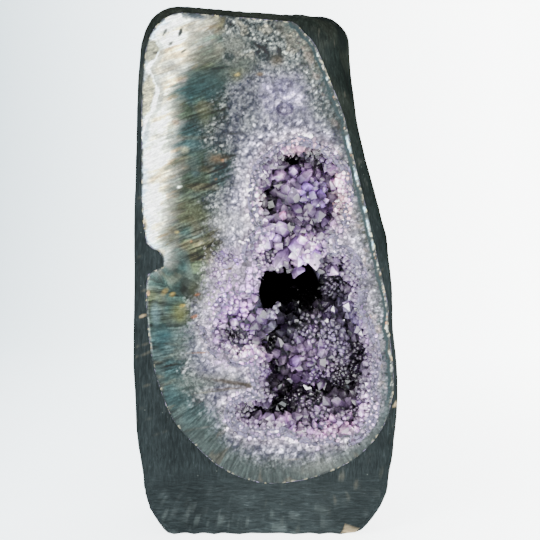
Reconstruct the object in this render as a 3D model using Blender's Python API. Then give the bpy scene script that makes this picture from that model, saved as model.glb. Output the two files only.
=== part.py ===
"""Amethyst cathedral geode: a painted cement coat with a flat base, the banded quartz rock inside it
with its cut and polished front, and the amethyst crystals that line and fill its pockets.

Metres, +Z up. The polished face looks towards -Y and leans back a little. Shapes are laid out in
"face space": x to the right, d (the y value) straight into the rock from the polished plane, z up.
The last step leans that space back and stands the geode with its base on z = 0.
"""

import math
import random

import bmesh
import bpy
from mathutils import Vector, noise

MM = 0.001

# The whole stone
HEIGHT = 340 * MM  # at the highest point, near the left of the top
TOP_DROP = 0.084  # fall of the top per unit of x, towards the right
TOP_PEAK_X = -57 * MM
FACE_LEAN = 0.07  # backward lean of the polished plane, per unit of height
SEED = 41

# Cement coat
COAT_SIDE = 1.9 * MM  # beside the polished face
COAT_BACK = 7 * MM
COAT_TOP = 5 * MM
COAT_FOOT = 9 * MM  # thinnest cement under the rock
FACE_SINK = 0.4 * MM  # polished plane behind the coat's front
GAP = 0.35 * MM  # clearance between neighbouring solids
DRUSE_FRONT = FACE_SINK + 0.2 * MM
TIP_MARGIN = 0.4 * MM  # crystal tips stay this far behind the druse's cut front
LEFT_CORNER = 4 * MM  # rounding between the front and the left side
BACK_FULLNESS = 2.7  # exponent of the rounded back, 2 = ellipse
FLANK_WIDTH = 8 * MM  # depth of the right-hand flank beside a flat front
FLANK_SLOPE = 1.5  # further depth of the flank per unit of its width
FLANK_KNEE = (0.55, 0.32)  # shares of the flank's width and depth at its bend
FRONT_END_INSET = 1.5 * MM  # smallest distance from the front's end to the right side
CORNER_CUT = 0.3  # where the left corner's middle point lies between its two sides
HULL_LUMP = 1.6 * MM
HULL_LUMP_SIZE = 45 * MM
LUMP_FREE_DEPTH = 20 * MM  # the lumps fade out towards the front over this depth
LUMP_FREE_FOOT = 0.125  # and towards the foot over this share of the height
HALF_WIDTH = 80 * MM
SLIVER = 0.01 * MM

# Silhouette, seen from the front: (share of the height, x in mm)
LEFT_SIDE = [(0, -60), (0.045, -71), (0.085, -77), (0.19, -82.5), (0.32, -84.5), (0.6, -84),
             (0.85, -81.8), (0.93, -79.5), (0.965, -75), (0.992, -66), (1, -57)]
RIGHT_SIDE = [(0, 57), (0.04, 71), (0.08, 79), (0.23, 84), (0.3, 84), (0.4, 80.5), (0.49, 81),
              (0.53, 78.5), (0.57, 79), (0.65, 71.5), (0.71, 66.5), (0.8, 59), (0.92, 53),
              (0.97, 50), (0.99, 47), (1, 41)]
# Right-hand end of the flat front, where the flank turns back: (share of the height, x in mm)
FRONT_END = [(0, 50), (0.05, 64), (0.1, 74), (0.25, 81.5), (0.42, 79.5), (0.5, 75.5), (0.6, 67.5),
             (0.73, 57), (0.8, 51), (0.9, 40), (0.96, 30), (1, 22)]
# Back of the stone, from the face plane: (share of the height, d in mm)
BACK_DEPTH = [(0, 120), (0.06, 134), (0.18, 142), (0.35, 140), (0.6, 127), (0.76, 112),
              (0.88, 98), (0.95, 84), (0.985, 72), (1, 62)]
# Rounding of the front at the foot and at the top: (share of the height, d in mm)
FRONT_DEPTH = [(0, 2.5), (0.012, 0), (0.97, 0), (0.985, 1), (1, 6)]
LEVELS = [0, 0.012, 0.045, 0.085, 0.14, 0.19, 0.25, 0.32, 0.4, 0.46, 0.49, 0.53, 0.57, 0.61, 0.65,
          0.71, 0.76, 0.8, 0.86, 0.92, 0.95, 0.97, 0.985, 0.995, 1]
BACK_STEPS = 16

# Edge of the polished face, clockwise from its top left corner (x, z in mm)
FACE_EDGE = [(-75, 321), (-67, 332), (-56, 335.5), (-30, 335), (12, 331), (24, 322), (32, 313),
             (41, 291), (50, 268), (56, 242), (64, 210), (70.5, 181), (77, 153), (82, 123),
             (82.5, 104), (81, 88), (75, 69), (61, 52), (44, 42), (25, 35.5), (4, 33), (-14, 36),
             (-32, 45), (-48, 60), (-60, 74), (-68, 93), (-74, 116), (-77, 145), (-76, 167),
             (-66, 172), (-69, 182), (-77, 187), (-80, 215), (-80, 250), (-80.5, 295)]
EDGE_STEPS = 2  # spline steps between two points of the edge
ROCK_CENTRE_Z = 185 * MM
ROCK_FLARE = 1.12  # how far the rock spreads behind the face
ROCK_EDGE_DEPTH = 6 * MM  # depth of the straight rim behind the polished plane
ROCK_FLARE_DEPTH = 55 * MM
BEHIND_ALL = 200 * MM  # a depth behind the whole stone
BEFORE_ALL = -20 * MM  # a depth in front of it
SOCKET_FRONT = -15 * MM

# Pockets: (centre x, d, z), (half-sizes x, d, z), all in mm
POCKETS = [
    ((31, 10, 112), (43, 50, 56)),  # main pocket
    ((0, 2, 78), (26, 24, 15)),  # its lower left toe
    ((48, 6, 85), (24, 30, 27)),  # its lower right corner
    ((15, 46, 156), (30, 52, 28)),  # deep black hole behind the bridge
    ((46, 4, 158), (19, 30, 28)),  # upper right wall
    ((-14, -4, 132), (28, 18, 25)),  # left slope
    ((-22, 5, 127), (14, 12, 8)),  # slot in the left slope
    ((17, -3, 180), (32, 18, 24)),  # saddle of the bridge
    ((22, 2, 217), (34, 36, 37)),  # upper pocket
]
FINE_POCKETS = {0, 3, 8}  # large ones, with a finer surface
VUG = ((12, 0, 273), (6, 7, 4.5))  # tiny hollow in the upper face
LINING = 5 * MM
WALL_LUMP = 2.6 * MM
WALL_LUMP_SIZE = 19 * MM
SMALL_HOLLOW = 20 * MM  # hollows with a smaller half-size than this have smaller lumps
MOST_SHRINK = 0.6  # share of a hollow's half-size that its lining may fill

# Crystal-covered mounds that stand inside the pockets
CENTRAL_MOUND = ((36, 44, 116), (33, 28, 28))
LOWER_LEDGE = ((28, 34, 58), (50, 31, 25))
UPPER_MOUND = ((28, 33, 212), (22, 23, 27))
MOUNDS = {"central_mound_druse": CENTRAL_MOUND, "lower_ledge_druse": LOWER_LEDGE,
          "upper_mound_druse": UPPER_MOUND}

# Crystals
CRYSTAL_RADIUS = (3.0 * MM, 5.4 * MM)
CRYSTAL_LENGTH = (8 * MM, 13 * MM)
CRYSTAL_ROOT = 0.36  # share of a crystal buried in what it grows on
TIP_SHARE = 0.45  # share of a crystal's length taken by its six-sided point
CRYSTAL_COUNTS = {"pocket_wall_druse": 58, "central_mound_druse": 36,
                  "lower_ledge_druse": 32, "upper_mound_druse": 26}
CRYSTAL_SPACING = 1.6  # smallest distance between two roots, in radii
CRYSTAL_TILT = ((-0.35, 0.35), (-0.55, 0.0), (-0.3, 0.35))  # lean off the surface's normal
CRYSTAL_FLATNESS = 0.86  # a crystal's narrow corners, as a share of its radius
CORNER_SHARPNESS = 1.16  # growth at a six-sided corner per unit of growth of its sides
CRYSTAL_CLEARANCE = 10 * MM  # between a wall crystal and a mound
MOUND_CLEARANCE = 4.5 * MM  # between the crystals of two mounds
WALL_CRYSTAL_DEPTH = 3 * MM  # wall crystals grow behind this depth
POCKET_MARGIN = 2 * MM

# Large pale crystals: root (x, d, z), tip (x, d, z), radius, all in mm
BRIDGE_CRYSTALS = [
    ((21, 14, 187), (19, 0.9, 178), 6.2),
    ((30, 15, 183), (33, 1.2, 170), 6.6),
    ((13, 13, 181), (6, 1.5, 170), 5.8),
    ((37, 15, 190), (46, 2.5, 184), 5.4),
    ((21, 17, 174), (21, 4.5, 161), 5.6),
    ((3, 11, 188), (-5, 1.0, 184), 5.6),
    ((36, 18, 175), (46, 7, 166), 5.0),
    ((12, 13, 193), (7, 1.4, 199), 5.2),
]
RIM_CRYSTALS = [
    ((-4, 12, 207), (-12, 1.0, 210), 5.4),
    ((0, 14, 224), (-7, 1.4, 232), 4.8),
    ((-2, 11, 103), (-6, 1.0, 108), 5.6),
    ((-20, 11, 142), (-25, 1.2, 147), 4.8),
    ((4, 17, 70), (-1, 3, 74), 5.2),
    ((44, 16, 67), (48, 2.5, 71), 5.4),
    ((26, 15, 64), (24, 2, 67), 5.2),
    ((60, 17, 150), (54, 3, 153), 5.0),
]

MATERIALS = {  # colour, roughness
    "cement": ((0.052, 0.070, 0.075), 0.72),
    "quartz": ((0.42, 0.43, 0.42), 0.22),
    "amethyst": ((0.20, 0.16, 0.27), 0.18),
    "pale_amethyst": ((0.52, 0.45, 0.58), 0.14),
}


def clear_scene():
    for obj in list(bpy.data.objects):
        bpy.data.objects.remove(obj, do_unlink=True)


def along(profile, share):
    """Value, in metres, of a (share, mm) profile, eased between its points."""
    for (low, a), (high, b) in zip(profile, profile[1:]):
        if share <= high:
            return (a + (b - a) * (share - low) / (high - low)) * MM
    return profile[-1][1] * MM


def top_height(x):
    return HEIGHT - TOP_DROP * (x - TOP_PEAK_X)


def new_object(name, points, faces):
    mesh = bpy.data.meshes.new(name)
    mesh.from_pydata(points, [], faces)
    bm = bmesh.new()
    bm.from_mesh(mesh)
    bmesh.ops.recalc_face_normals(bm, faces=bm.faces)
    bm.to_mesh(mesh)
    bm.free()
    obj = bpy.data.objects.new(name, mesh)
    bpy.context.collection.objects.link(obj)
    return obj


def combine(target, other, operation):
    """Apply a Boolean of other on target, and remove other."""
    boolean = target.modifiers.new(operation.lower(), "BOOLEAN")
    boolean.operation = operation
    boolean.object = other
    bpy.context.view_layer.update()
    depsgraph = bpy.context.evaluated_depsgraph_get()
    result = bpy.data.meshes.new_from_object(target.evaluated_get(depsgraph))
    target.modifiers.clear()
    target.data = result
    bpy.data.objects.remove(other, do_unlink=True)
    return target


def ring_loft(name, rings):
    """Closed solid through rings of equal point counts, with flat end caps."""
    size = len(rings[0])
    faces = [list(range(size))]
    for level in range(len(rings) - 1):
        for i in range(size):
            j = (i + 1) % size
            lower, upper = level * size, (level + 1) * size
            faces.append([lower + i, lower + j, upper + j, upper + i])
    last = (len(rings) - 1) * size
    faces.append([last + i for i in reversed(range(size))])
    return new_object(name, [point for ring in rings for point in ring], faces)


# ---------------------------------------------------------------- outer shape


def hull_ring(share, side, back, front):
    """Section of the stone at a share of its height, drawn in by the given thicknesses."""
    left = along(LEFT_SIDE, share) + side
    right = along(RIGHT_SIDE, share) - side
    end = min(along(FRONT_END, share), right - FRONT_END_INSET)
    near = along(FRONT_DEPTH, share) if front is None else front
    far = along(BACK_DEPTH, share) - back
    flank = near + FLANK_WIDTH + FLANK_SLOPE * (right - end)
    corner = LEFT_CORNER
    knee_x, knee_d = FLANK_KNEE
    outline = [(left + corner, near), ((left + end) / 2, near), (end, near),
               (end + knee_x * (right - end), near + knee_d * (flank - near))]
    middle, half = (left + right) / 2, (right - left) / 2
    for step in range(BACK_STEPS + 1):
        angle = math.pi * step / BACK_STEPS
        start = flank + (near + corner - flank) * step / BACK_STEPS
        cosine, sine = math.cos(angle), math.sin(angle)
        x = middle + half * math.copysign(abs(cosine) ** (2 / BACK_FULLNESS), cosine)
        outline.append((x, start + (far - start) * abs(sine) ** (2 / BACK_FULLNESS)))
    outline.append((left + CORNER_CUT * corner, near + CORNER_CUT * corner))
    return outline


def hull(name, side=0.0, back=0.0, top=0.0, foot=0.0, front=None):
    """The stone's outer shape, or the same shape drawn in by its coat."""
    rings = []
    for share in LEVELS:
        ring = []
        for x, d in hull_ring(share, side, back, front):
            height = top_height(x) - top - foot
            z = foot + share * height
            spot = Vector((x, d, z)) / HULL_LUMP_SIZE
            depth_share = min(1.0, max(0.0, d / LUMP_FREE_DEPTH))
            swell = HULL_LUMP * noise.noise(spot) * depth_share * min(1.0, share / LUMP_FREE_FOOT)
            ring.append((x * (1 + swell / HALF_WIDTH), d + swell, z))
        rings.append(ring)
    return ring_loft(name, rings)


def smooth_closed(points, steps):
    """Catmull-Rom curve through a closed list of points."""
    count = len(points)
    curve = []
    for i in range(count):
        before, start, end, after = (Vector(points[(i + k) % count]) for k in (-1, 0, 1, 2))
        for step in range(steps):
            t = step / steps
            curve.append(0.5 * (2 * start + (end - before) * t
                                + (2 * before - 5 * start + 4 * end - after) * t * t
                                + (3 * start - before - 3 * end + after) * t ** 3))
    return curve


def grown(outline, amount):
    """A clockwise closed outline moved outwards by an amount."""
    moved = []
    for i, point in enumerate(outline):
        tangent = (outline[(i + 1) % len(outline)] - outline[i - 1]).normalized()
        moved.append(point + amount * Vector((-tangent.y, tangent.x)))
    return moved


def rock_blank(name, clearance, front):
    """The rock before its pockets: the face outline swept back and held inside the coat."""
    edge = grown(smooth_closed([(x * MM, z * MM) for x, z in FACE_EDGE], EDGE_STEPS), clearance)
    rings = []
    for d, flare in ((front, 1.0), (ROCK_EDGE_DEPTH, 1.0), (ROCK_FLARE_DEPTH, ROCK_FLARE),
                     (BEHIND_ALL, ROCK_FLARE)):
        rings.append([(p.x * flare, d, ROCK_CENTRE_Z + (p.y - ROCK_CENTRE_Z) * flare) for p in edge])
    blank = ring_loft(name, rings)
    inside = hull("inside_of_coat", COAT_SIDE - clearance, COAT_BACK - clearance,
                  COAT_TOP - clearance, COAT_FOOT - clearance, front=BEFORE_ALL)
    return combine(blank, inside, "INTERSECT")


# -------------------------------------------------------------------- pockets


def blob(name, shape, shrink, detail, lump, phase):
    """An ellipsoid with a lumpy surface."""
    centre, sizes = (Vector(values) * MM for values in shape)
    shrink = min(shrink, MOST_SHRINK * min(sizes))
    bm = bmesh.new()
    bmesh.ops.create_icosphere(bm, subdivisions=detail, radius=1.0)
    for vert in bm.verts:
        way = vert.co.normalized()
        full = Vector(a * b for a, b in zip(way, sizes))
        swell = lump * noise.noise(full / WALL_LUMP_SIZE + Vector((phase, 0, 0)))
        small = min(sizes) / SMALL_HOLLOW
        vert.co = centre + full - way * (shrink - swell * min(1.0, small))
    mesh = bpy.data.meshes.new(name)
    bm.to_mesh(mesh)
    bm.free()
    obj = bpy.data.objects.new(name, mesh)
    bpy.context.collection.objects.link(obj)
    return obj


def pocket_space(name, shrink, fine=False):
    """All the connected pockets as one solid."""
    space = None
    for index, shape in enumerate(POCKETS):
        detail = 3 if fine and index in FINE_POCKETS else 2
        part = blob(name, shape, shrink, detail, WALL_LUMP, 3.7 * index)
        space = part if space is None else combine(space, part, "UNION")
    return space


def room(shape, point):
    """Rough distance of a point outside an ellipsoid, negative inside it."""
    centre, sizes = (Vector(values) * MM for values in shape)
    scaled = Vector(a / b for a, b in zip(point - centre, sizes))
    return (scaled.length - 1) * min(sizes)


# ------------------------------------------------------------------- crystals


def crystal_mesh(root, tip, radius, turn, growth=0.0):
    """Points and faces of a six-sided crystal with a pointed end, optionally grown outwards."""
    axis = (tip - root).normalized()
    side = axis.orthogonal().normalized()
    other = axis.cross(side)
    start = root - axis * growth
    shoulder = root + (tip - root) * (1 - TIP_SHARE)
    point = tip + axis * growth * 2
    points = []
    for centre in (start, shoulder):
        for corner in range(6):
            angle = turn + corner * math.pi / 3
            reach = radius * (1.0 if corner % 2 else CRYSTAL_FLATNESS) + growth * CORNER_SHARPNESS
            points.append(centre + reach * (math.cos(angle) * side + math.sin(angle) * other))
    points.append(point)
    faces = [[5, 4, 3, 2, 1, 0]]
    for i in range(6):
        j = (i + 1) % 6
        faces.append([i, j, 6 + j, 6 + i])
        faces.append([6 + i, 6 + j, 12])
    return points, faces


def add_crystals(target, count, rng, allowed):
    """Grow crystals on the faces of target that look into the open pocket."""
    mesh = target.data
    mesh.calc_loop_triangles()
    corners = [[mesh.vertices[v].co.copy() for v in tri.vertices] for tri in mesh.loop_triangles]
    areas = [tri.area for tri in mesh.loop_triangles]
    normals = [tri.normal.copy() for tri in mesh.loop_triangles]
    roots = []
    for _ in range(400 * count):
        if len(roots) == count:
            break
        index = rng.choices(range(len(corners)), weights=areas)[0]
        u, v = sorted((rng.random(), rng.random()))
        a, b, c = corners[index]
        place = a * u + b * (v - u) + c * (1 - v)
        way = (normals[index] + Vector(rng.uniform(*tilt) for tilt in CRYSTAL_TILT)).normalized()
        length = rng.uniform(*CRYSTAL_LENGTH)
        radius = rng.uniform(*CRYSTAL_RADIUS)
        root = place - way * length * CRYSTAL_ROOT
        tip = root + way * length
        if any((place - other).length < CRYSTAL_SPACING * radius for other in roots):
            continue
        if not allowed(place, normals[index], tip):
            continue
        roots.append(place)
        crystal = new_object("crystal", *crystal_mesh(root, tip, radius, rng.uniform(0, math.pi)))
        combine(target, crystal, "UNION")
    return target


def in_pocket(point, margin):
    return min(room(shape, point) for shape in POCKETS) < -margin


# ---------------------------------------------------------------------- build


def behind_face(obj):
    """Keep only what lies behind the polished plane, where the crystals were cut with the rock."""
    return combine(obj, new_object("behind_face", *slab(DRUSE_FRONT, BEHIND_ALL)), "INTERSECT")


def coat():
    shell = hull("coat")
    return combine(shell, rock_blank("socket", GAP, SOCKET_FRONT), "DIFFERENCE")


def rock():
    body = combine(rock_blank("rock", 0.0, FACE_SINK), pocket_space("pockets", 0.0), "DIFFERENCE")
    return combine(body, blob("vug", VUG, 0.0, 2, 0.0, 0), "DIFFERENCE")


def wall_druse(rng):
    """The crystal lining of the pockets' walls, kept clear of the mounds."""

    def allowed(place, normal, tip):
        looks_in = in_pocket(place + normal * POCKET_MARGIN, LINING * 0.7)
        clear = min(room(shape, tip) for shape in MOUNDS.values())
        return (place.y > WALL_CRYSTAL_DEPTH and tip.y > DRUSE_FRONT + TIP_MARGIN and looks_in
                and clear > CRYSTAL_CLEARANCE)

    wall = behind_face(pocket_space("wall", 1.4 * GAP))
    wall = combine(wall, pocket_space("hollow", LINING, fine=True), "DIFFERENCE")
    wall = add_crystals(wall, CRYSTAL_COUNTS["pocket_wall_druse"], rng, allowed)
    return combine(wall, pocket_space("keep_off_rock", GAP), "INTERSECT")


def mound_druse(name, rng):
    """A rounded mass of crystals that stands in a pocket on the wall's lining."""
    others = [shape for key, shape in MOUNDS.items() if key != name]

    def allowed(place, normal, tip):
        clear = min(room(shape, tip) for shape in others)
        return (tip.y > DRUSE_FRONT + TIP_MARGIN and in_pocket(tip, LINING + 1.5 * MM)
                and in_pocket(place, LINING + POCKET_MARGIN) and clear > MOUND_CLEARANCE)

    mound = blob(name, MOUNDS[name], 0.0, 3, WALL_LUMP, 11.0)
    mound = add_crystals(mound, CRYSTAL_COUNTS[name], rng, allowed)
    inner = behind_face(pocket_space("inner", LINING + 1.6 * GAP, fine=True))
    return combine(mound, inner, "INTERSECT")


def build():
    """Every piece of the geode, by name, with its material."""
    rng = random.Random(SEED)
    nodes = {"painted_cement_coat": (coat(), "cement"), "quartz_rock": (rock(), "quartz"),
             "pocket_wall_druse": (wall_druse(rng), "amethyst")}
    for name in MOUNDS:
        nodes[name] = (mound_druse(name, rng), "amethyst")
    for kind, crystals in (("bridge_crystal", BRIDGE_CRYSTALS), ("rim_crystal", RIM_CRYSTALS)):
        for index, (root, tip, radius) in enumerate(crystals, 1):
            shape = (Vector(root) * MM, Vector(tip) * MM, radius * MM, rng.uniform(0, math.pi))
            for obj, _ in nodes.values():
                combine(obj, new_object("crystal_socket", *crystal_mesh(*shape, GAP)), "DIFFERENCE")
            name = f"{kind}_{index:02d}"
            nodes[name] = (new_object(name, *crystal_mesh(*shape)), "pale_amethyst")
    return nodes


def slab(near, far):
    """Points and faces of a wide block between two depths."""
    reach = 500 * MM
    points = [(x, d, z) for d in (near, far) for z in (-reach, reach) for x in (-reach, reach)]
    faces = [[0, 1, 3, 2], [4, 6, 7, 5], [0, 4, 5, 1], [2, 3, 7, 6], [0, 2, 6, 4], [1, 5, 7, 3]]
    return points, faces


def islands(bm):
    """The separate bodies of a mesh, as sets of vertices."""
    left, found = set(bm.verts), []
    while left:
        body, edge_of_body = set(), [left.pop()]
        while edge_of_body:
            vert = edge_of_body.pop()
            body.add(vert)
            near = {edge.other_vert(vert) for edge in vert.link_edges} - body
            edge_of_body.extend(near & left)
            left -= near
        found.append(body)
    return found


def weld_flat(mesh):
    """Drop crumbs and the hair-thin faces that Booleans leave, and split the rest into triangles."""
    bm = bmesh.new()
    bm.from_mesh(mesh)
    crumbs = sorted(islands(bm), key=len)[:-1]
    bmesh.ops.delete(bm, geom=[vert for body in crumbs for vert in body], context="VERTS")
    bmesh.ops.dissolve_degenerate(bm, dist=SLIVER, edges=bm.edges)
    bmesh.ops.triangulate(bm, faces=bm.faces)
    bmesh.ops.dissolve_degenerate(bm, dist=SLIVER, edges=bm.edges)
    bm.to_mesh(mesh)
    bm.free()


def finish(nodes):
    """Lean the stone back, stand it on the origin, and give each piece its name and material."""
    objects = [obj for obj, _ in nodes.values()]
    for obj in objects:
        for vert in obj.data.vertices:
            vert.co.y += FACE_LEAN * vert.co.z
    spots = [vert.co for obj in objects for vert in obj.data.vertices]
    low = Vector(min(spot[k] for spot in spots) for k in range(3))
    high = Vector(max(spot[k] for spot in spots) for k in range(3))
    shift = Vector((-(low.x + high.x) / 2, -(low.y + high.y) / 2, -low.z))
    for name, (obj, material_name) in nodes.items():
        for vert in obj.data.vertices:
            vert.co += shift
        weld_flat(obj.data)
        obj.name = name
        obj.data.name = name
        obj.data.materials.clear()
        obj.data.materials.append(material(material_name))


def material(name):
    if name in bpy.data.materials:
        return bpy.data.materials[name]
    colour, roughness = MATERIALS[name]
    made = bpy.data.materials.new(name)
    made.use_nodes = True
    shader = made.node_tree.nodes["Principled BSDF"]
    shader.inputs["Base Color"].default_value = (*colour, 1)
    shader.inputs["Roughness"].default_value = roughness
    return made


clear_scene()
finish(build())
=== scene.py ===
"""Looks of the amethyst geode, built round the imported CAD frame.

"Face space" is used throughout: x to the right, d straight into the stone from the polished plane,
z up. The plane leans back by FACE_LEAN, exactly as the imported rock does.
"""

import itertools
import math

import bpy
import numpy as np
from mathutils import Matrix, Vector
from mathutils.bvhtree import BVHTree
from mathutils.kdtree import KDTree


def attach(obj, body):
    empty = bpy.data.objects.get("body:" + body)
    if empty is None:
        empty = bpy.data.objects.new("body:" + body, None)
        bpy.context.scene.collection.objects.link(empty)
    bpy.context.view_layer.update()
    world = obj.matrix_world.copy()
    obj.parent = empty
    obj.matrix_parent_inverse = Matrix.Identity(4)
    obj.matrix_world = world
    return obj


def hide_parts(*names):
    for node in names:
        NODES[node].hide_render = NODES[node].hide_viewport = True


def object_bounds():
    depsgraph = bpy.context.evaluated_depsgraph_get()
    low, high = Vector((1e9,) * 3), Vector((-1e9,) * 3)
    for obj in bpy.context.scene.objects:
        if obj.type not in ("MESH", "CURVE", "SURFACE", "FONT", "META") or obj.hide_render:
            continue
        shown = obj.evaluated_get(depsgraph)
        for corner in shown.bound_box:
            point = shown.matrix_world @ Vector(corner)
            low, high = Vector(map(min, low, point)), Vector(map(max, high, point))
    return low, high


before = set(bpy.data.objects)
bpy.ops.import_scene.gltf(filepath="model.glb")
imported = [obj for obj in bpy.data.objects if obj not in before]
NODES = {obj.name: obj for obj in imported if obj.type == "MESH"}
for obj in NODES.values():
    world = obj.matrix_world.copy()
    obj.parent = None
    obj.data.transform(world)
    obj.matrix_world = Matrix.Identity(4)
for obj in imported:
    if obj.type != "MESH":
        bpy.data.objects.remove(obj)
cad_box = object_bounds()

MM = 0.001
SEED = 7
FACE_LEAN = 0.07  # backward lean of the polished plane for each unit of height
FACE_SINK = 0.4 * MM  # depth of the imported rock's front behind the plane
DRUSES = ("pocket_wall_druse", "central_mound_druse", "lower_ledge_druse", "upper_mound_druse")
SINGLE_CRYSTALS = sorted(name for name in NODES if "crystal_" in name)
LOW, HIGH = (Vector(corner) for corner in cad_box)


# ------------------------------------------------------------------ small tools


def node_arrays(name):
    """Points and triangles of a CAD node, with its coincident points joined."""
    mesh = NODES[name].data
    mesh.calc_loop_triangles()
    points = np.empty(len(mesh.vertices) * 3)
    mesh.vertices.foreach_get("co", points)
    corners = np.empty(len(mesh.loop_triangles) * 3, dtype=np.int32)
    mesh.loop_triangles.foreach_get("vertices", corners)
    points = points.reshape(-1, 3)
    _, first, joined = np.unique(np.round(points / (0.002 * MM)), axis=0, return_index=True,
                                 return_inverse=True)
    return points[first], joined.reshape(-1)[corners].reshape(-1, 3)


def node_tree(*names):
    """One ray-casting tree of several CAD nodes, with the node's number for each triangle."""
    points, faces, owner, base = [], [], [], 0
    for number, name in enumerate(names):
        more, triangles = node_arrays(name)
        points.extend(more.tolist())
        faces.extend((triangles + base).tolist())
        owner.extend([number] * len(triangles))
        base += len(more)
    return BVHTree.FromPolygons(points, faces), np.array(owner)


def hash_noise(cells, seed):
    """A fixed random number from 0 to 1 for each row of whole numbers."""
    n = cells[..., 0] * 374761393 + cells[..., 1] * 668265263 + cells[..., 2] * 1442695041
    n = (n + seed * 974634777) & 0xFFFFFFFF
    n = ((n ^ (n >> 13)) * 1274126177) & 0xFFFFFFFF
    n = ((n ^ (n >> 16)) * 2246822519) & 0xFFFFFFFF
    return ((n ^ (n >> 15)) & 0xFFFFFF) / float(0xFFFFFF)


def noise(points, size, seed=0):
    """Smooth noise from 0 to 1 with lumps of about that size, for an array of points."""
    scaled = np.asarray(points, dtype=float) / size
    cell = np.floor(scaled).astype(np.int64)
    part = scaled - cell
    part = part * part * (3 - 2 * part)
    total = 0.0
    for corner in range(8):
        offset = np.array([corner & 1, corner >> 1 & 1, corner >> 2 & 1])
        weight = np.prod(np.where(offset, part, 1 - part), axis=-1)
        total = total + weight * hash_noise(cell + offset, seed)
    return total


def fractal(points, size, seed=0, octaves=3):
    """Several sizes of noise added up, still from 0 to 1."""
    total, weight, whole = 0.0, 1.0, 0.0
    for octave in range(octaves):
        total = total + weight * noise(points, size / 2**octave, seed + octave)
        whole += weight
        weight *= 0.55
    return total / whole


def step(low, high, value):
    """0 below low, 1 above high, and smooth between."""
    t = np.clip((value - low) / (high - low), 0, 1)
    return t * t * (3 - 2 * t)


SHOWN = (0, 9, 18, 32, 51, 76, 96, 118, 136, 153, 170, 184, 197, 207, 217, 227, 237, 255)
LIGHT = (0, 0.005, 0.01, 0.02, 0.04, 0.08, 0.12, 0.18, 0.25, 0.35, 0.5, 0.7, 1, 1.4, 2, 3, 5, 9)
STUDIO_LEVEL = 2.8  # light that leaves a white surface in the studio
GLOSS = 0.02  # light that every surface mirrors on top of its own colour


def surface(shown):
    """Surface colours that the studio's light shows as the given display values.

    Colours are written and mixed as display values, and turned into surface colours last.
    """
    return np.clip((np.interp(shown, SHOWN, LIGHT) - GLOSS) / STUDIO_LEVEL, 0.0012, 0.93)


def cells(x, z, size, seed=0):
    """A pattern of grains: a random number for each grain, and the distance to its border."""
    u, v = x / size, z / size
    column_u, row_v = np.floor(u).astype(np.int64), np.floor(v).astype(np.int64)
    best, second, tone = np.full(u.shape, 9.0), np.full(u.shape, 9.0), np.zeros(u.shape)
    for a in (-1, 0, 1):
        for b in (-1, 0, 1):
            grid = np.stack([column_u + a, row_v + b, np.zeros_like(column_u)], axis=-1)
            centre_u = column_u + a + hash_noise(grid, seed)
            centre_v = row_v + b + hash_noise(grid, seed + 1)
            far = np.hypot(u - centre_u, v - centre_v)
            closer = far < best
            second = np.where(closer, best, np.minimum(second, far))
            tone = np.where(closer, hash_noise(grid, seed + 2), tone)
            best = np.where(closer, far, best)
    return tone, (second - best) * size


def blend(under, over, mask):
    """A colour laid over another by a mask from 0 to 1."""
    under, over = np.asarray(under, dtype=float), np.asarray(over, dtype=float)
    return under + (over - under) * np.asarray(mask)[..., None]


def layered(colour, *layers):
    """A colour with others laid over it in turn, each by its own mask."""
    for over, mask in layers:
        colour = blend(colour, over, mask)
    return colour


def column(*values):
    """Columns of coordinates side by side, the missing ones filled with zero."""
    shape = np.broadcast(*values).shape
    values = [np.broadcast_to(value, shape) for value in values]
    while len(values) < 3:
        values.append(np.zeros(shape))
    return np.stack(values, axis=-1)


def lines(a, b, size, seed):
    """Noise over two coordinates, either of which may be stretched."""
    return fractal(column(a, b), size, seed)


def new_mesh(name, points, faces, smooth=True):
    """A new mesh object with the given points and faces."""
    mesh = bpy.data.meshes.new(name)
    mesh.from_pydata(np.asarray(points).tolist(), [], [list(face) for face in faces])
    mesh.update()
    mesh.polygons.foreach_set("use_smooth", [smooth] * len(mesh.polygons))
    obj = bpy.data.objects.new(name, mesh)
    bpy.context.collection.objects.link(obj)
    return obj


def paint(obj, name, colours):
    """Store a colour for each point."""
    layer = obj.data.color_attributes.new(name, "FLOAT_COLOR", "POINT")
    values = np.ones((len(colours), 4))
    values[:, :3] = surface(colours)
    layer.data.foreach_set("color", values.ravel())


def weigh(obj, name, values):
    """Store a number for each point."""
    layer = obj.data.attributes.new(name, "FLOAT", "POINT")
    layer.data.foreach_set("value", np.asarray(values, dtype=float))


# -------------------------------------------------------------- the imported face

ROCK_POINTS, ROCK_FACES = node_arrays("quartz_rock")
FRONT_Y = float((ROCK_POINTS[:, 1] - FACE_LEAN * ROCK_POINTS[:, 2]).min()) - FACE_SINK


def depth_of(points):
    """Depth behind the polished plane."""
    return points[..., 1] - FACE_LEAN * points[..., 2] - FRONT_Y


def from_face(x, d, z):
    """World points from face-space coordinates."""
    x, d, z = np.broadcast_arrays(x, d, z)
    return np.stack([x, FRONT_Y + d + FACE_LEAN * z, z], axis=-1)


def face_loops():
    """Closed borders of the rock's flat front: its outer edge first, then the pockets'."""
    flat = np.abs(depth_of(ROCK_POINTS) - FACE_SINK) < 0.03 * MM
    triangles = ROCK_FACES[flat[ROCK_FACES].all(axis=1)]
    ends = np.concatenate([triangles[:, [0, 1]], triangles[:, [1, 2]], triangles[:, [2, 0]]])
    sides = {(int(a), int(b)) for a, b in ends}
    following = {}
    for a, b in sides:
        if (b, a) not in sides:
            following[a] = b
    loops = []
    while following:
        start, here = next(iter(following.items()))
        loop = [start]
        del following[start]
        while here != start and here in following:
            loop.append(here)
            here = following.pop(here)
        loops.append(ROCK_POINTS[loop][:, [0, 2]])
    return sorted(loops, key=lambda loop: -np.ptp(loop[:, 1]))


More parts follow.
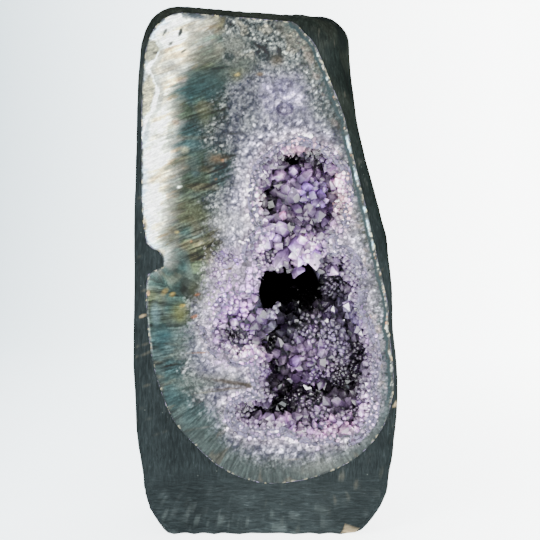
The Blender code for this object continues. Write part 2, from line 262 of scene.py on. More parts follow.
def dense(loop, spacing=0.5 * MM):
    """A closed loop with points at a fixed spacing."""
    closed = np.vstack([loop, loop[:1]])
    run = np.concatenate([[0], np.cumsum(np.hypot(*np.diff(closed, axis=0).T))])
    at = np.arange(0, run[-1], spacing)
    return np.stack([np.interp(at, run, closed[:, k]) for k in range(2)], axis=1)


def smooth_loop(loop, reach):
    """A closed loop with its corners rounded over a number of points."""
    kernel = np.hanning(2 * reach + 3)[1:-1]
    kernel /= kernel.sum()
    wrapped = np.vstack([loop[-reach:], loop, loop[:reach]])
    return np.stack([np.convolve(wrapped[:, k], kernel, "valid") for k in range(2)], axis=1)


def nearest(places, x, z):
    """Distance to the nearest of some places and its number, for arrays of x and z."""
    tree = KDTree(len(places))
    for number, (a, b) in enumerate(places):
        tree.insert((a, b, 0), number)
    tree.balance()
    found = [tree.find((a, b, 0))[1:] for a, b in zip(x.ravel().tolist(), z.ravel().tolist())]
    numbers = np.array([number for number, _ in found]).reshape(x.shape)
    return np.array([far for _, far in found]).reshape(x.shape), numbers


def inside(loop, x, z):
    """Whether places lie inside a closed loop."""
    odd = np.zeros(np.shape(x), dtype=bool)
    for (ax, az), (bx, bz) in zip(loop, np.roll(loop, -1, axis=0)):
        if az == bz:
            continue
        crosses = (az > z) != (bz > z)
        odd ^= crosses & (x < (bx - ax) * (z - az) / (bz - az) + ax)
    return odd


def signed_far(loop, x, z):
    """Distance inside a loop, negative outside it."""
    far, _ = nearest(loop, x, z)
    return np.where(inside(loop[::4], x, z), far, -far)


FACE_EDGE = smooth_loop(dense(face_loops()[0]), 5)
if FACE_EDGE[:, 0] @ np.roll(FACE_EDGE[:, 1], 1) < FACE_EDGE[:, 1] @ np.roll(FACE_EDGE[:, 0], 1):
    FACE_EDGE = FACE_EDGE[::-1]


# ----------------------------------------------------------------- face colours
# Lengths below are in mm.

GRID = 0.62
VUG = (12, 273, 6, 4.5)  # tiny hollow: centre x, z and half-sizes
FLOWER = (12, 280)  # middle of the purple patch round it
SAWN_TOP = (-66, 18, 318)  # x range and height where the face's outline is cut, not the wall of the stone
SURFACE_DEPTH = 1.4  # what lies less deep belongs to the polished face

# Growth bands: place on the wall (x, z), then how far the white and the green band reach from it
BANDS = [(18.5, 328, 0, 5), (24, 322, 0, 5), (32, 313, 0, 5), (50, 268, 0, 4), (64, 210, 0, 3.5),
         (77, 153, 0, 3), (82, 104, 0, 3), (75, 69, 0, 5), (61, 52, 0, 7), (44, 42, 0, 9),
         (25, 35.5, 0, 11), (4, 33, 0, 13), (-14, 36, 0, 14), (-32, 45, 0, 16), (-48, 60, 0, 22),
         (-60, 74, 0, 19), (-68, 93, 0, 15), (-74, 118, 0, 22), (-77, 148, 0, 30), (-67, 172, 2, 30),
         (-79, 186, 20, 46), (-79, 197, 22, 46), (-80, 211, 22, 34), (-80, 226, 21, 54),
         (-80, 240, 25, 57), (-80, 255, 25, 38), (-80, 270, 25, 48), (-80, 284, 25, 48),
         (-80, 298, 30, 74), (-79, 309, 34, 62), (-75, 321, 33, 56), (-66.5, 331, 33, 50)]

# Middle colour of the green band by height: (z, colour)
GREENS = [(35, (74, 86, 84)), (60, (74, 88, 85)), (95, (72, 88, 86)),
          (130, (66, 86, 86)), (150, (82, 92, 82)), (175, (80, 94, 88)),
          (205, (78, 88, 80)), (235, (58, 74, 74)), (265, (54, 68, 65)),
          (290, (50, 66, 64)), (308, (92, 94, 82)), (330, (112, 114, 104))]

# Marks on the polished face: x, z, half-width, half-height, turn (degrees), softness, strength, colour
MARKS = [
    (-50, 97, 17, 7, -4, 0.9, 0.6, (92, 106, 98)),
    (-28, 99, 16, 5, -8, 0.9, 0.45, (112, 112, 100)),
    (-20, 97.5, 16, 1.6, -9, 0.6, 1.0, (62, 52, 44)),
    (-34, 92, 14, 0.7, 6, 0.7, 0.6, (96, 92, 76)),
    (-50, 67, 10, 0.8, 14, 0.7, 0.6, (70, 74, 66)),
    (-24, 168, 16, 13, 20, 0.9, 0.6, (214, 210, 212)),
    (-34, 146, 12, 16, 20, 0.9, 0.5, (210, 206, 210)),
    (-22, 108, 22, 10, -4, 0.9, 0.4, (204, 200, 206)),
    (-20, 202, 17, 9, 12, 0.9, 0.5, (206, 204, 204)),
    (-12, 228, 9, 14, 0, 0.9, 0.4, (208, 204, 208)),
    (36, 44, 20, 7, 10, 0.9, 0.4, (160, 160, 150)),
    (-56, 124, 16, 16, 0, 0.9, 0.45, (112, 126, 122)),
    (-24, 297, 24, 8, 14, 0.9, 0.75, (76, 86, 74)),
    (-74.5, 311, 5.0, 6.6, -8, 0.2, 0.95, (168, 168, 152)),
    (-76.5, 282, 4.8, 11.8, -4, 0.2, 0.95, (190, 188, 170)),
    (-65, 322, 2.4, 0.9, 60, 0.6, 0.8, (92, 96, 92)),
    (-61, 315, 2.0, 0.9, 40, 0.6, 0.75, (96, 98, 92)),
    (-55, 322, 3.2, 1.0, 70, 0.5, 0.95, (62, 66, 64)),
    (-53, 310, 2.0, 0.8, 30, 0.6, 0.7, (100, 100, 92)),
    (-71, 309, 1.4, 1.1, 0, 0.6, 0.8, (104, 100, 90)),
    (-46, 333, 9, 2.6, -8, 0.7, 0.9, (70, 82, 90)),
    (-39, 324, 3.4, 0.8, 35, 0.6, 0.8, (214, 216, 212)),
    (-36, 322, 2.4, 0.7, -50, 0.6, 0.7, (214, 216, 212)),
    (-53, 291, 3.2, 2.0, 20, 0.8, 0.5, (196, 172, 164)),
    (-58, 265, 2.6, 2.2, 0, 0.8, 0.5, (198, 176, 162)),
    (-20, 314, 9, 6.5, 10, 0.7, 0.85, (126, 130, 120)),
    (-31, 311, 4, 5, 10, 0.8, 0.6, (176, 170, 152)),
    (-36, 308, 10, 6, 12, 0.9, 0.6, (112, 116, 98)),
    (-39, 292, 14, 10, 8, 0.9, 0.8, (48, 68, 68)),
    (-31, 299, 10, 0.9, 10, 0.7, 0.85, (30, 40, 40)),
    (-40.5, 272, 5, 9.5, 12, 0.9, 0.6, (96, 102, 74)),
    (-18, 295, 2.2, 1.4, 20, 0.6, 0.85, (196, 172, 96)),
    (-18, 295, 6, 4.5, 20, 0.9, 0.45, (116, 116, 82)),
    (-4, 295, 2.6, 1.6, 0, 0.7, 0.7, (112, 90, 66)),
    (7, 304, 5, 3.6, 25, 0.8, 0.55, (118, 100, 76)),
    (-60, 260, 3.4, 5, 0, 0.8, 0.6, (180, 188, 182)),
    (-52, 247, 3.2, 2.6, 10, 0.7, 0.7, (212, 204, 172)),
    (-59, 227.5, 6, 4, 8, 0.8, 0.65, (160, 164, 158)),
    (-56, 223, 2.0, 1.2, 10, 0.5, 0.9, (228, 230, 226)),
    (-47, 245, 5.5, 17, 0, 0.9, 0.55, (84, 112, 112)),
    (-32, 241, 7.5, 3.8, 5, 0.8, 0.75, (120, 94, 70)),
    (-28, 240, 1.4, 1.1, 0, 0.6, 0.75, (168, 118, 78)),
    (-32, 228, 1.2, 0.9, 0, 0.6, 0.7, (166, 118, 78)),
    (-48, 188, 1.2, 0.9, 0, 0.6, 0.7, (170, 124, 80)),
    (-47, 206, 10, 10, 10, 0.9, 0.5, (106, 112, 84)),
    (-22, 257, 5.4, 0.6, 4, 0.6, 0.85, (52, 54, 54)),
    (-78, 200, 2.2, 4.6, 0, 0.6, 0.85, (202, 188, 156)),
    (-80, 239, 1.6, 2.2, 0, 0.6, 0.8, (198, 186, 160)),
    (-68, 180, 4.5, 3.4, 20, 0.5, 0.8, (206, 202, 186)),
    (-72, 176, 2.4, 2.2, 0, 0.5, 0.8, (178, 168, 146)),
    (-76, 155, 1.4, 2.6, 0, 0.5, 0.9, (216, 190, 150)),
    (-75, 126, 1.3, 1.8, 0, 0.5, 0.9, (222, 204, 176)),
    (-74.5, 120, 1.2, 1.5, 0, 0.5, 0.9, (206, 160, 110)),
    (-71, 141, 3.4, 10, 0, 0.9, 0.7, (122, 152, 160)),
    (-66, 128, 7.5, 7, 0, 0.9, 0.75, (48, 86, 92)),
    (-65, 156, 3.0, 2.2, 30, 0.7, 0.75, (170, 146, 88)),
    (-60, 154, 2.4, 1.6, 30, 0.7, 0.75, (186, 158, 84)),
    (-54, 147, 2.0, 1.3, 20, 0.5, 0.9, (216, 186, 92)),
    (-55.5, 143, 8, 7, 20, 0.9, 0.8, (112, 114, 66)),
    (-44, 154, 2.2, 1.2, 20, 0.6, 0.8, (146, 92, 62)),
    (-46, 140, 2.4, 1.1, 20, 0.6, 0.8, (142, 92, 64)),
    (-24.5, 170.5, 3.8, 0.6, 12, 0.6, 0.8, (96, 74, 62)),
    (-40, 117, 9, 0.55, 2, 0.6, 0.75, (140, 98, 74)),
    (-22, 94, 18, 0.5, 3, 0.6, 0.8, (92, 76, 68)),
    (-57, 194, 1.6, 1.0, 0, 0.6, 0.7, (196, 184, 120)),
    (-39, 69, 5, 0.5, 10, 0.7, 0.6, (120, 116, 112)),
    (18, 48.5, 6, 0.5, 4, 0.7, 0.6, (128, 120, 112)),
    (-36, 151, 12, 5, 42, 0.8, 0.55, (206, 204, 200)),
    (11.5, 272, 1.5, 1.1, 20, 0.3, 1.0, (246, 246, 250)),
    (15, 288, 1.6, 1.1, 40, 0.6, 0.8, (70, 64, 84)),
    (10, 277, 1.5, 1.0, 0, 0.6, 0.8, (66, 60, 80)),
    (48, 218, 7, 26, 14, 0.8, 0.5, (196, 182, 176)),
    (66, 140, 2.4, 2.0, 0, 0.7, 0.6, (196, 170, 152)),
    (70, 118, 2.0, 2.6, 0, 0.7, 0.6, (200, 172, 160)),
    (3, 227, 1.4, 1.0, 20, 0.5, 0.9, (206, 170, 96)),
]


# Outline of the opening under the bridge, painted black as shade (x, z)
SHADED_OPENING = np.array([(-9, 145), (-4, 156), (-0.5, 169), (9, 168), (21, 170), (33, 172), (38, 163),
                       (36, 152), (29, 140), (22, 143), (14, 149), (7, 149), (0, 143)], dtype=float)


def on_height(table, z):
    """Colours between those of a table by height."""
    heights = [row[0] for row in table]
    return np.stack([np.interp(z, heights, [row[1][k] for row in table]) for k in range(3)], axis=-1)


def softened(values, reach, edges=("edge", "edge")):
    """A grid of values averaged with its neighbours, twice; edges says how each axis goes on."""
    for axis in (0, 1, 0, 1):
        sides = [(reach, reach) if k == axis else (0, 0) for k in range(values.ndim)]
        padded = np.moveaxis(np.pad(values, sides, mode=edges[axis]), axis, 0)
        count = values.shape[axis]
        total = sum(padded[k:k + count] for k in range(2 * reach + 1))
        values = np.moveaxis(total / (2 * reach + 1), 0, axis)
    return values


def face_field(spacing):
    """A grid over the face with what its colours need: x, z, outer, g, s, p, dent and ends.

    outer is the distance inside the face's outline, g the distance from the wall the stone grew on,
    s the position along that wall, p the distance from the nearest pocket, dent the depth of the
    surface behind the plane, and ends how far the white and the green band reach.
    """
    edge = FACE_EDGE / MM
    x, z = np.meshgrid(np.arange(-86, 86.1, spacing), np.arange(26, 341, spacing), indexing="ij")
    outer = signed_far(edge, x, z)
    left, right, low = SAWN_TOP
    wall = edge[~((edge[:, 0] > left) & (edge[:, 0] < right) & (edge[:, 1] > low))]
    g, number = nearest(wall, x, z)
    tree, _ = node_tree("quartz_rock", "pocket_wall_druse")
    hit_depth = np.full(x.shape, 99.0)
    for i, j in zip(*np.nonzero(outer > -1)):
        start = from_face(x[i, j] * MM, -0.02, z[i, j] * MM)
        hit = tree.ray_cast(Vector(start), Vector((0, 1, 0)))
        if hit[0] is not None:
            hit_depth[i, j] = depth_of(np.array(hit[0])) / MM
    in_vug = ((x - VUG[0]) / (VUG[2] + 1.5)) ** 2 + ((z - VUG[1]) / (VUG[3] + 1.5)) ** 2 < 1
    solid = (hit_depth < SURFACE_DEPTH) | in_vug | (outer < 1.5)
    change = np.zeros(x.shape, dtype=bool)
    change[:-1] |= solid[:-1] != solid[1:]
    change[:, :-1] |= solid[:, :-1] != solid[:, 1:]
    p, _ = nearest(np.stack([x[change], z[change]], axis=1), x, z)
    p = np.where(solid, p, -p)
    for _ in range(3):
        p[1:-1, 1:-1] = (p[1:-1, 1:-1] * 2 + p[:-2, 1:-1] + p[2:, 1:-1]
                         + p[1:-1, :-2] + p[1:-1, 2:]) / 6
    dent = np.where(in_vug & (outer > 0), np.clip(hit_depth - 0.4, 0, 4.5), 0.0)
    stations = sorted((int(np.hypot(*(wall - row[:2]).T).argmin()), *row[2:]) for row in BANDS)
    at, *reaches = zip(*stations)
    ends = [softened(np.interp(number, at, reach), 6) for reach in reaches]
    return x, z, outer, g, number * 0.5, p, dent, ends


def grain(x, z, size, seed, dark, pale, share=0.5):
    """Interlocking mineral grains between a dark and a pale colour."""
    flat = column(x, z)
    tone, _ = cells(x + 0.4 * noise(flat, 2, seed), z, size, seed)
    mix = 0.45 * tone + 0.75 * fractal(flat, 1.5 * size, seed + 5)
    mix += 0.5 * (fractal(flat, 6 * size, seed + 9) - 0.5)
    return blend(dark, pale, np.clip(1.6 * (mix - 0.6) + share, 0, 1))


def streak_lines(x, z, g, s):
    """How far a place lies across and along the streaks, which rise to the right at the upper left."""
    upper = (x < 30) & (z > 176)
    return np.where(upper, z * 0.94 - x * 0.36, s), np.where(upper, x, g)


def slope_share(x, z):
    """Where crystals cover the slope at the left of the shaded opening."""
    share = step(4, -4, x) * step(106, 112, z) * step(188, 178, z)
    return share * step(-42, -27, x + 14 * (lines(x, z, 9, 603) - 0.5))


def quartz_colours(x, z, p, past_green, ragged, slow, pepper):
    """Quartz: dark salt-and-pepper near the green, paler and more purple towards the pockets."""
    flat = column(x, z)
    beige = grain(x, z, 1.4, 91, (60, 60, 52), (232, 226, 206), 0.44)
    lavender = grain(x, z, 1.7, 51, (50, 48, 72), (230, 226, 235), 0.46)
    toward = step(-4, 26, past_green + 2 * ragged) * step(330, 300, z)
    left = 1 - 0.5 * step(48, 60, x)
    # Crystals painted on the slope left of the opening, dark at their borders as painted shade in the gaps
    # between them
    tone, border = cells(x, z, 4.0, 129)
    purple = blend((58, 46, 66), (188, 168, 196), step(0.0, 1.1, border))
    return layered(
        grain(x, z, 1.25, 71, (26, 36, 38), (214, 216, 210), 0.33),
        (grain(x, z, 1.4, 81, (40, 44, 46), (238, 236, 236), 0.40), step(216, 190, z + 0.4 * ragged)),
        (beige, 0.7 * step(0.54, 0.64, fractal(flat, 9, 97)) * step(296, 312, z)),
        (beige, 0.9 * step(14, 5, np.hypot(x - 17, (z - 324) * 1.3) + ragged)),
        (lavender, np.clip(toward * (0.25 + 0.7 * slow) * step(312, 290, z), 0, 1)),
        (lavender, 0.9 * left * step(22, 8, p + 2 * ragged)),
        (grain(x, z, 1.9, 61, (96, 84, 102), (244, 238, 242), 0.56),
         0.85 * left * step(10, 2.5, p + 1.2 * ragged)),
        (purple * (0.72 + 0.5 * tone)[..., None], 0.8 * slope_share(x, z)),
        ((52, 50, 66), 0.5 * step(0.80, 0.90, pepper) * step(0.5, 0.62, fractal(flat, 5, 99))))


def green_colours(x, z, g, s, loose, streak, broad, slow, pepper):
    """Green band: dark, in long streaks, with olive and teal areas."""
    green = on_height(GREENS, z + 8 * (slow - 0.5))
    hue = fractal(column(x, z), 15, 103, 2)
    green = blend(green, green * [1.06, 1.02, 0.86], step(0.52, 0.66, hue) * step(120, 150, z))
    green = blend(green, green * [0.84, 0.99, 1.03], step(0.5, 0.36, hue) * step(60, 90, z))
    green = blend(green, (112, 90, 66), 0.35 * step(0.64, 0.74, lines(s, 0.3 * g, 6, 105)))
    lively = 0.45 + 0.55 * step(60, 110, z)
    streaked = 0.94 + lively * (1.7 * (streak - 0.5) + 0.9 * (broad - 0.5))
    return green * (streaked * (1 + (0.5 * loose + 0.12) * (pepper - 0.45)))[..., None]


def white_colours(x, z, g, across, along, inner, ragged):
    """White band with fine streaks that rise to the right."""
    fine = lines(across, 0.08 * along, 1.0, 111)
    wide = lines(across, 0.16 * along, 5, 117)
    cloud = fractal(column(x, z), 15, 119, 2)
    smear = step(0.47, 0.66, 0.5 * cloud + 0.3 * fine + 0.2 * wide) * step(2, 14, g)
    white = layered((230, 232, 228), ((214, 206, 184), step(0.48, 0.72, wide)),
                    ((146, 147, 142), 0.55 * smear))
    rusty = step(0.6, 0.7, lines(across, 0.4 * along, 3, 123))
    return layered(white * (0.86 + 0.40 * fine)[..., None],
                   ((206, 218, 230), 0.7 * step(7, 1, g + ragged * 0.6)),
                   ((188, 186, 174), 0.55 * inner), ((214, 186, 140), 0.7 * inner * rusty))


def right_rim(colour, x, z, g, s, ragged):
    """Crust along the right-hand rim: a dark teal line, then a broken line of pale specks."""
    rim = step(8, 16, x) * step(78, 92, z)
    line_end = 1.1 + 2.2 * (lines(s, 0 * s, 6, 127) - 0.4)
    speck, _ = cells(s, 1.6 * g, 1.5, 131)
    patch = lines(s, 0.6 * g, 9, 133)
    crust = layered(
        (62, 72, 70),
        ((206, 208, 202), step(0.5, 0.72, 0.5 * speck + 0.6 * patch)),
        ((96, 92, 76), step(0.3, 0.5, speck) * step(0.55, 0.45, patch) * step(170, 130, z)),
        ((190, 142, 96), 0.7 * step(0.92, 0.97, speck)),
        ((214, 232, 240), step(0.55, 0.66, patch) * step(150, 190, z) * step(320, 290, z)))
    colour = layered(colour, ((46, 64, 68), 0.95 * rim * step(1.7, 0.7, np.abs(g - line_end - 1.2))),
                     (crust, rim * step(0.8, 0.1, g - line_end + 0.2 * ragged)))
    fibrous = rim * step(5, 7, g) * step(17, 12, g)
    colour = colour * (1 + fibrous * 0.6 * (lines(s, 0.1 * g, 1.4, 141) - 0.5))[..., None]
    tan = rim * step(4, 6, g) * step(11, 7, g) * step(0.58, 0.66, fractal(column(x, z), 6, 143))
    return blend(colour, (176, 152, 138), 0.4 * tan)


def left_rim(colour, x, z, g):
    """Bright wavy line beside the two lenses at the upper left, and a pale edge lower down."""
    line_x = np.interp(z, [258, 266, 273, 283, 292, 299, 304, 309, 313, 319],
                       [-80, -77.5, -72.5, -69.5, -73, -76, -72, -69.5, -70, -73])
    line = step(1.9, 0.7, np.abs(x - line_x + 1.2 * (noise(column(z, 0 * z), 3, 7) - 0.5)))
    line_height = step(250, 258, z) * step(320, 314, z)
    beside = step(5.5, 3.5, np.abs(x - line_x)) * (1 - line)
    lower = step(1.8, 0.6, g) * step(112, 120, z) * step(170, 165, z) * step(-60, -66, x)
    return layered(colour, ((176, 180, 178), 0.5 * beside * line_height),
                   ((242, 248, 254), 0.98 * line * line_height), ((214, 222, 222), 0.8 * lower))


def face_colours(x, z, outer, g, s, p, ends):
    """Colour of every place on the polished face."""
    across, along = streak_lines(x, z, g, s)
    white_end, green_end = ends
    flat = column(x, z)
    ragged = 5 * (fractal(flat, 7, 3) - 0.5)
    streak = lines(across, 0.12 * along, 1.1, 21)
    broad = lines(across, 0.16 * along, 3.6, 31)
    fringe = 17 * (broad - 0.5) + 11 * (streak - 0.5)
    lobes = 12 * (fractal(column(x * 0.35, z), 13, 33, 2) - 0.5) * step(150, 200, z) * step(40, 0, x)
    slow = fractal(flat, 24, 37, 2)
    pepper, _ = cells(x, z, 1.15, 107)
    colour = quartz_colours(x, z, p, g - green_end, ragged, slow, pepper)

    loose = step(0.3, 1.0, g / np.maximum(green_end, 1))
    green = green_colours(x, z, g, s, loose, streak, broad, slow, pepper)
    spread = 5 + 5 * step(110, 60, z) + 3 * step(190, 230, z)
    reach = g - green_end + lobes + fringe * (0.25 + 0.022 * green_end) + 9 * loose * (pepper - 0.5)
    colour = blend(colour, green, step(spread, -spread, reach) * step(0.5, 3, green_end))

    inner = step(-13, -2, g - white_end + 0.6 * fringe)
    white = white_colours(x, z, g, across, along, inner, ragged)
    soft = 8 + 3 * step(285, 310, z) + 2 * step(235, 215, z)
    at_wall = step(soft, -soft, g - white_end + 1.5 + 0.75 * fringe)
    colour = blend(colour, white, at_wall * (white_end > 0.8))

    # Purple patch round the tiny hollow
    from_vug = np.hypot(x - FLOWER[0], (z - FLOWER[1]) * 1.15)
    petal = lines(5 * np.arctan2(z - 276, x - 11), from_vug * 0.05, 1, 5)
    flower = grain(x, z, 2.2, 125, (84, 78, 110), (218, 212, 224), 0.48)
    flower = flower * (0.8 + 0.4 * petal)[..., None]
    colour = blend(colour, flower, 0.85 * step(24, 8, from_vug + 3.5 * ragged))
    colour = left_rim(right_rim(colour, x, z, g, s, ragged), x, z, g)

    for cx, cz, half_x, half_z, turned, soft, strength, tint in MARKS:
        angle = math.radians(turned)
        u = ((x - cx) * math.cos(angle) + (z - cz) * math.sin(angle)) / half_x
        v = (-(x - cx) * math.sin(angle) + (z - cz) * math.cos(angle)) / half_z
        far = np.hypot(u, v) + 0.9 * (fractal(flat, min(half_x, half_z) * 0.9 + 0.6, 151) - 0.5)
        uneven = (0.76 + 0.3 * streak + 0.18 * pepper)[..., None]
        colour = blend(colour, tint * uneven, step(1 + 0.5 * soft, 1 - soft, far) * strength)
    colour = colour * (0.86 + 0.24 * fractal(flat, 1.3, 161))[..., None]
    rim = blend((50, 58, 58), (196, 190, 168), step(0.74, 0.84, cells(x, z, 2.2, 173)[0]))
    return blend(colour, rim, 0.85 * step(1.5, 0.1, outer + 1.2 * (noise(flat, 2.2, 171) - 0.5)))


def trimmed_sheet(name, x, z, f, d):
    """A sheet over the places where f is positive, its border moved onto f = 0. Lengths in mm."""
    slope_x, slope_z = np.gradient(f, x[1, 0] - x[0, 0], z[0, 1] - z[0, 0])
    pull = np.where(f < 0, -f / np.maximum(slope_x**2 + slope_z**2, 0.15), 0)
    reach = np.hypot(pull * slope_x, pull * slope_z)
    pull = pull * np.minimum(1, 1.1 * GRID / np.maximum(reach, 1e-9))
    moved_x, moved_z = x + pull * slope_x, z + pull * slope_z
    good = f >= 0
    corners = [good[:-1, :-1], good[1:, :-1], good[1:, 1:], good[:-1, 1:]]
    keep = sum(corner.astype(int) for corner in corners) >= 2
    number = np.arange(x.size).reshape(x.shape)
    quads = np.stack([number[:-1, :-1][keep], number[1:, :-1][keep],
                      number[1:, 1:][keep], number[:-1, 1:][keep]], axis=1)
    used = np.unique(quads)
    order = np.full(x.size, -1)
    order[used] = np.arange(len(used))
    points = from_face(moved_x * MM, d * MM, moved_z * MM).reshape(-1, 3)[used]
    return new_mesh(name, points, order[quads]), used


def polished_face():
    """The polished front, with its ragged border round the pockets, and the grid it was made from."""
    x, z, outer, g, s, p, dent, ends = face_field(GRID)
    bite = 1.6 * (lines(x, z, 4.5, 181) - 0.45) + 0.9 * (cells(x, z, 3, 183)[0] - 0.5)
    edge = outer - 0.1 + 1.3 * (lines(x, z, 3.2, 187) - 0.5)
    f = np.minimum(edge, p + 0.2 + 0.7 * bite)
    f = np.minimum(f, -signed_far(dense(SHADED_OPENING, 0.5), x, z) + 1.5 + 0.6 * bite)
    curl = 1.6 * step(3.5, 0, f) ** 2 * step(2, 6, outer)
    polish = 0.05 * (lines(x, z, 6, 191) - 0.5)
    obj, used = trimmed_sheet("polished_face", x, z, f, 0.25 + curl + dent + polish)
    colours = face_colours(x, z, outer, g, s, p, ends)
    in_dent = step(0.2, 2.0, dent)
    colours = blend(colours, (128, 118, 146), 0.45 * in_dent)
    paint(obj, "tint", colours.reshape(-1, 3)[used])
    grainy = 0.18 + 0.62 * step(-12, 6, g - ends[1])
    weigh(obj, "grainy", grainy.ravel()[used])
    across, along = streak_lines(x, z, g, s)
    weigh(obj, "across", across.ravel()[used])
    weigh(obj, "along", along.ravel()[used])
    return obj, (x, z, outer, p, colours)


# -------------------------------------------------------------------- materials


def new_material(name, **values):
    """A material and its shader, with some values set directly."""
    material = bpy.data.materials.new(name)
    material.use_nodes = True
    shader = material.node_tree.nodes["Principled BSDF"]
    for socket, value in values.items():
        shader.inputs[socket.replace("_", " ")].default_value = value
    return material, material.node_tree, shader


def add(tree, kind, inputs=None, **settings):
    """A node with its settings and inputs, where an input is a value or another node's socket."""
    node = tree.nodes.new(kind)
    for key, value in settings.items():
        setattr(node, key, value)
    for key, value in (inputs or {}).items():
        socket = node.inputs[key]
        if isinstance(value, bpy.types.NodeSocket):
            tree.links.new(value, socket)
        else:
            socket.default_value = value
    return node


def mixed(tree, kind, factor, a, b):
    """Two colours mixed by a kind of blending."""
    return add(tree, "ShaderNodeMix", {0: factor, 6: a, 7: b}, data_type="RGBA", blend_type=kind).outputs[2]


def product(tree, colour, *factors):
    """A colour multiplied by others in turn."""
    for factor in factors:
        colour = mixed(tree, "MULTIPLY", 1.0, colour, factor)
    return colour


def ramp(tree, source, stops):
    """A colour ramp through (position, grey or colour) stops."""
    node = add(tree, "ShaderNodeValToRGB", {"Fac": source})
    elements = node.color_ramp.elements
    while len(elements) < len(stops):
        elements.new(0.5)
    for element, (position, value) in zip(elements, stops):
        element.position = position
        colour = (value,) * 3 if np.isscalar(value) else tuple(value)
        element.color = (*colour, 1)
    return node.outputs["Color"]


def place(tree, scale=(1, 1, 1)):
    """Object coordinates in mm, stretched by a scale."""
    spot = add(tree, "ShaderNodeTexCoord").outputs["Object"]
    return add(tree, "ShaderNodeMapping", {"Vector": spot, "Scale": [k / MM for k in scale]}).outputs[0]


def stored(tree, name):
    """Numbers stored on the mesh."""
    return add(tree, "ShaderNodeAttribute", attribute_name=name).outputs["Fac"]


def painted(tree):
    """Colours painted on the mesh."""
    return add(tree, "ShaderNodeVertexColor", layer_name="tint").outputs["Color"]


def clouds(tree, vector, scale, detail=4.0, roughness=0.5, distortion=0.0):
    """Noise over a vector."""
    return add(tree, "ShaderNodeTexNoise", {"Vector": vector, "Scale": scale, "Detail": detail,
                                            "Roughness": roughness, "Distortion": distortion}).outputs["Fac"]


def spread(tree, value, low, high, start=0.0, end=1.0):
    """A value moved from one range to another."""
    return add(tree, "ShaderNodeMapRange", {"Value": value, "From Min": low, "From Max": high,
                                            "To Min": start, "To Max": end}).outputs[0]


def dress(tree, shader, colour, height, strength, distance, **under):
    """Give a shader its colour and its fine relief, over another relief where there is one."""
    bump = add(tree, "ShaderNodeBump", {"Height": height, "Strength": strength,
                                        "Distance": distance * MM, **under}).outputs[0]
    tree.links.new(colour, shader.inputs["Base Color"])
    tree.links.new(bump, shader.inputs["Normal"])


def face_material():
    """Polished quartz: grains in the crystalline parts, hair-thin streaks in the banded ones."""
    material, tree, shader = new_material("polished_quartz", Roughness=0.3, IOR=1.5, Specular_IOR_Level=0.2)
    spot = place(tree)
    grains = add(tree, "ShaderNodeTexVoronoi", {"Vector": spot, "Scale": 0.95}).outputs["Color"]
    fine = clouds(tree, spot, 0.8, 5.0, 0.7)
    grainy = stored(tree, "grainy")
    tones = ramp(tree, grains, [(0.15, 0.45), (0.5, 0.95), (0.85, 1.5)])
    colour = mixed(tree, "MULTIPLY", grainy, painted(tree), tones)
    line = add(tree, "ShaderNodeCombineXYZ", {"X": stored(tree, "across"), "Y": stored(tree, "along")})
    line = add(tree, "ShaderNodeMapping", {"Vector": line.outputs[0], "Scale": (0.75, 0.13, 1)}).outputs[0]
    hair = ramp(tree, clouds(tree, line, 1.0, 4.0, 0.7, 0.5), [(0.3, 0.28), (0.5, 0.86), (0.7, 1.85)])
    colour = mixed(tree, "MULTIPLY", spread(tree, grainy, 0.8, 0.2, 0.1, 0.75), colour, hair)
    colour = mixed(tree, "MULTIPLY", 0.7, colour, ramp(tree, fine, [(0.3, 0.74), (0.7, 1.24)]))
    dress(tree, shader, colour, fine, 0.12, 0.3)
    return material


def coat_material():
    """Matt slate paint, brushed upright on the walls and level on the foot, with pale specks."""
    material, tree, shader = new_material("painted_cement", IOR=1.45, Specular_IOR_Level=0.0)
    upright = clouds(tree, place(tree, (0.8, 0.8, 0.13)), 1.0, 5.0, 0.7, 0.6)
    lying = clouds(tree, place(tree, (0.13, 0.8, 0.9)), 1.0, 5.0, 0.7, 0.9)
    strokes = mixed(tree, "MIX", stored(tree, "level"), upright, lying)
    blotch = clouds(tree, place(tree), 0.06)
    colour = product(tree, painted(tree),
                     ramp(tree, strokes, [(0.3, 0.5), (0.5, 0.92), (0.62, 1.3), (0.74, 2.4)]),
                     ramp(tree, blotch, [(0.3, 0.82), (0.7, 1.2)]))
    specks = add(tree, "ShaderNodeTexVoronoi", {"Vector": place(tree), "Scale": 0.35, "Randomness": 1.0})
    dots = product(tree, ramp(tree, specks.outputs["Distance"], [(0.09, 1.0), (0.17, 0.0)]),
                   ramp(tree, specks.outputs["Color"], [(0.80, 0.0), (0.86, 0.6)]))
    colour = mixed(tree, "MIX", dots, colour, (*surface((132, 138, 132)), 1))
    tree.links.new(ramp(tree, strokes, [(0.3, 0.68), (0.7, 0.5)]), shader.inputs["Roughness"])
    bump = add(tree, "ShaderNodeBump", {"Height": strokes, "Strength": 0.55, "Distance": 0.5 * MM})
    dress(tree, shader, colour, clouds(tree, place(tree), 0.7), 0.35, 0.4, Normal=bump.outputs[0])
    return material


def crystal_material(name, roughness=0.12):
    """Clear to milky quartz with veils inside."""
    material, tree, shader = new_material(
        name, Roughness=roughness, IOR=1.55, Coat_Weight=0.25, Coat_Roughness=0.04,
        Subsurface_Weight=0.35, Subsurface_Radius=(1.0, 0.85, 1.1), Subsurface_Scale=1.6 * MM)
    veil = clouds(tree, place(tree), 0.45, 4.0, 0.6)
    colour = product(tree, painted(tree), ramp(tree, veil, [(0.32, 0.62), (0.5, 0.98), (0.7, 1.45)]))
    dress(tree, shader, colour, veil, 0.15, 0.4)
    return material


OPENING = (15.12, 156.35, 24, 26.5)  # opening painted black as shade: centre x, z and half-sizes in mm
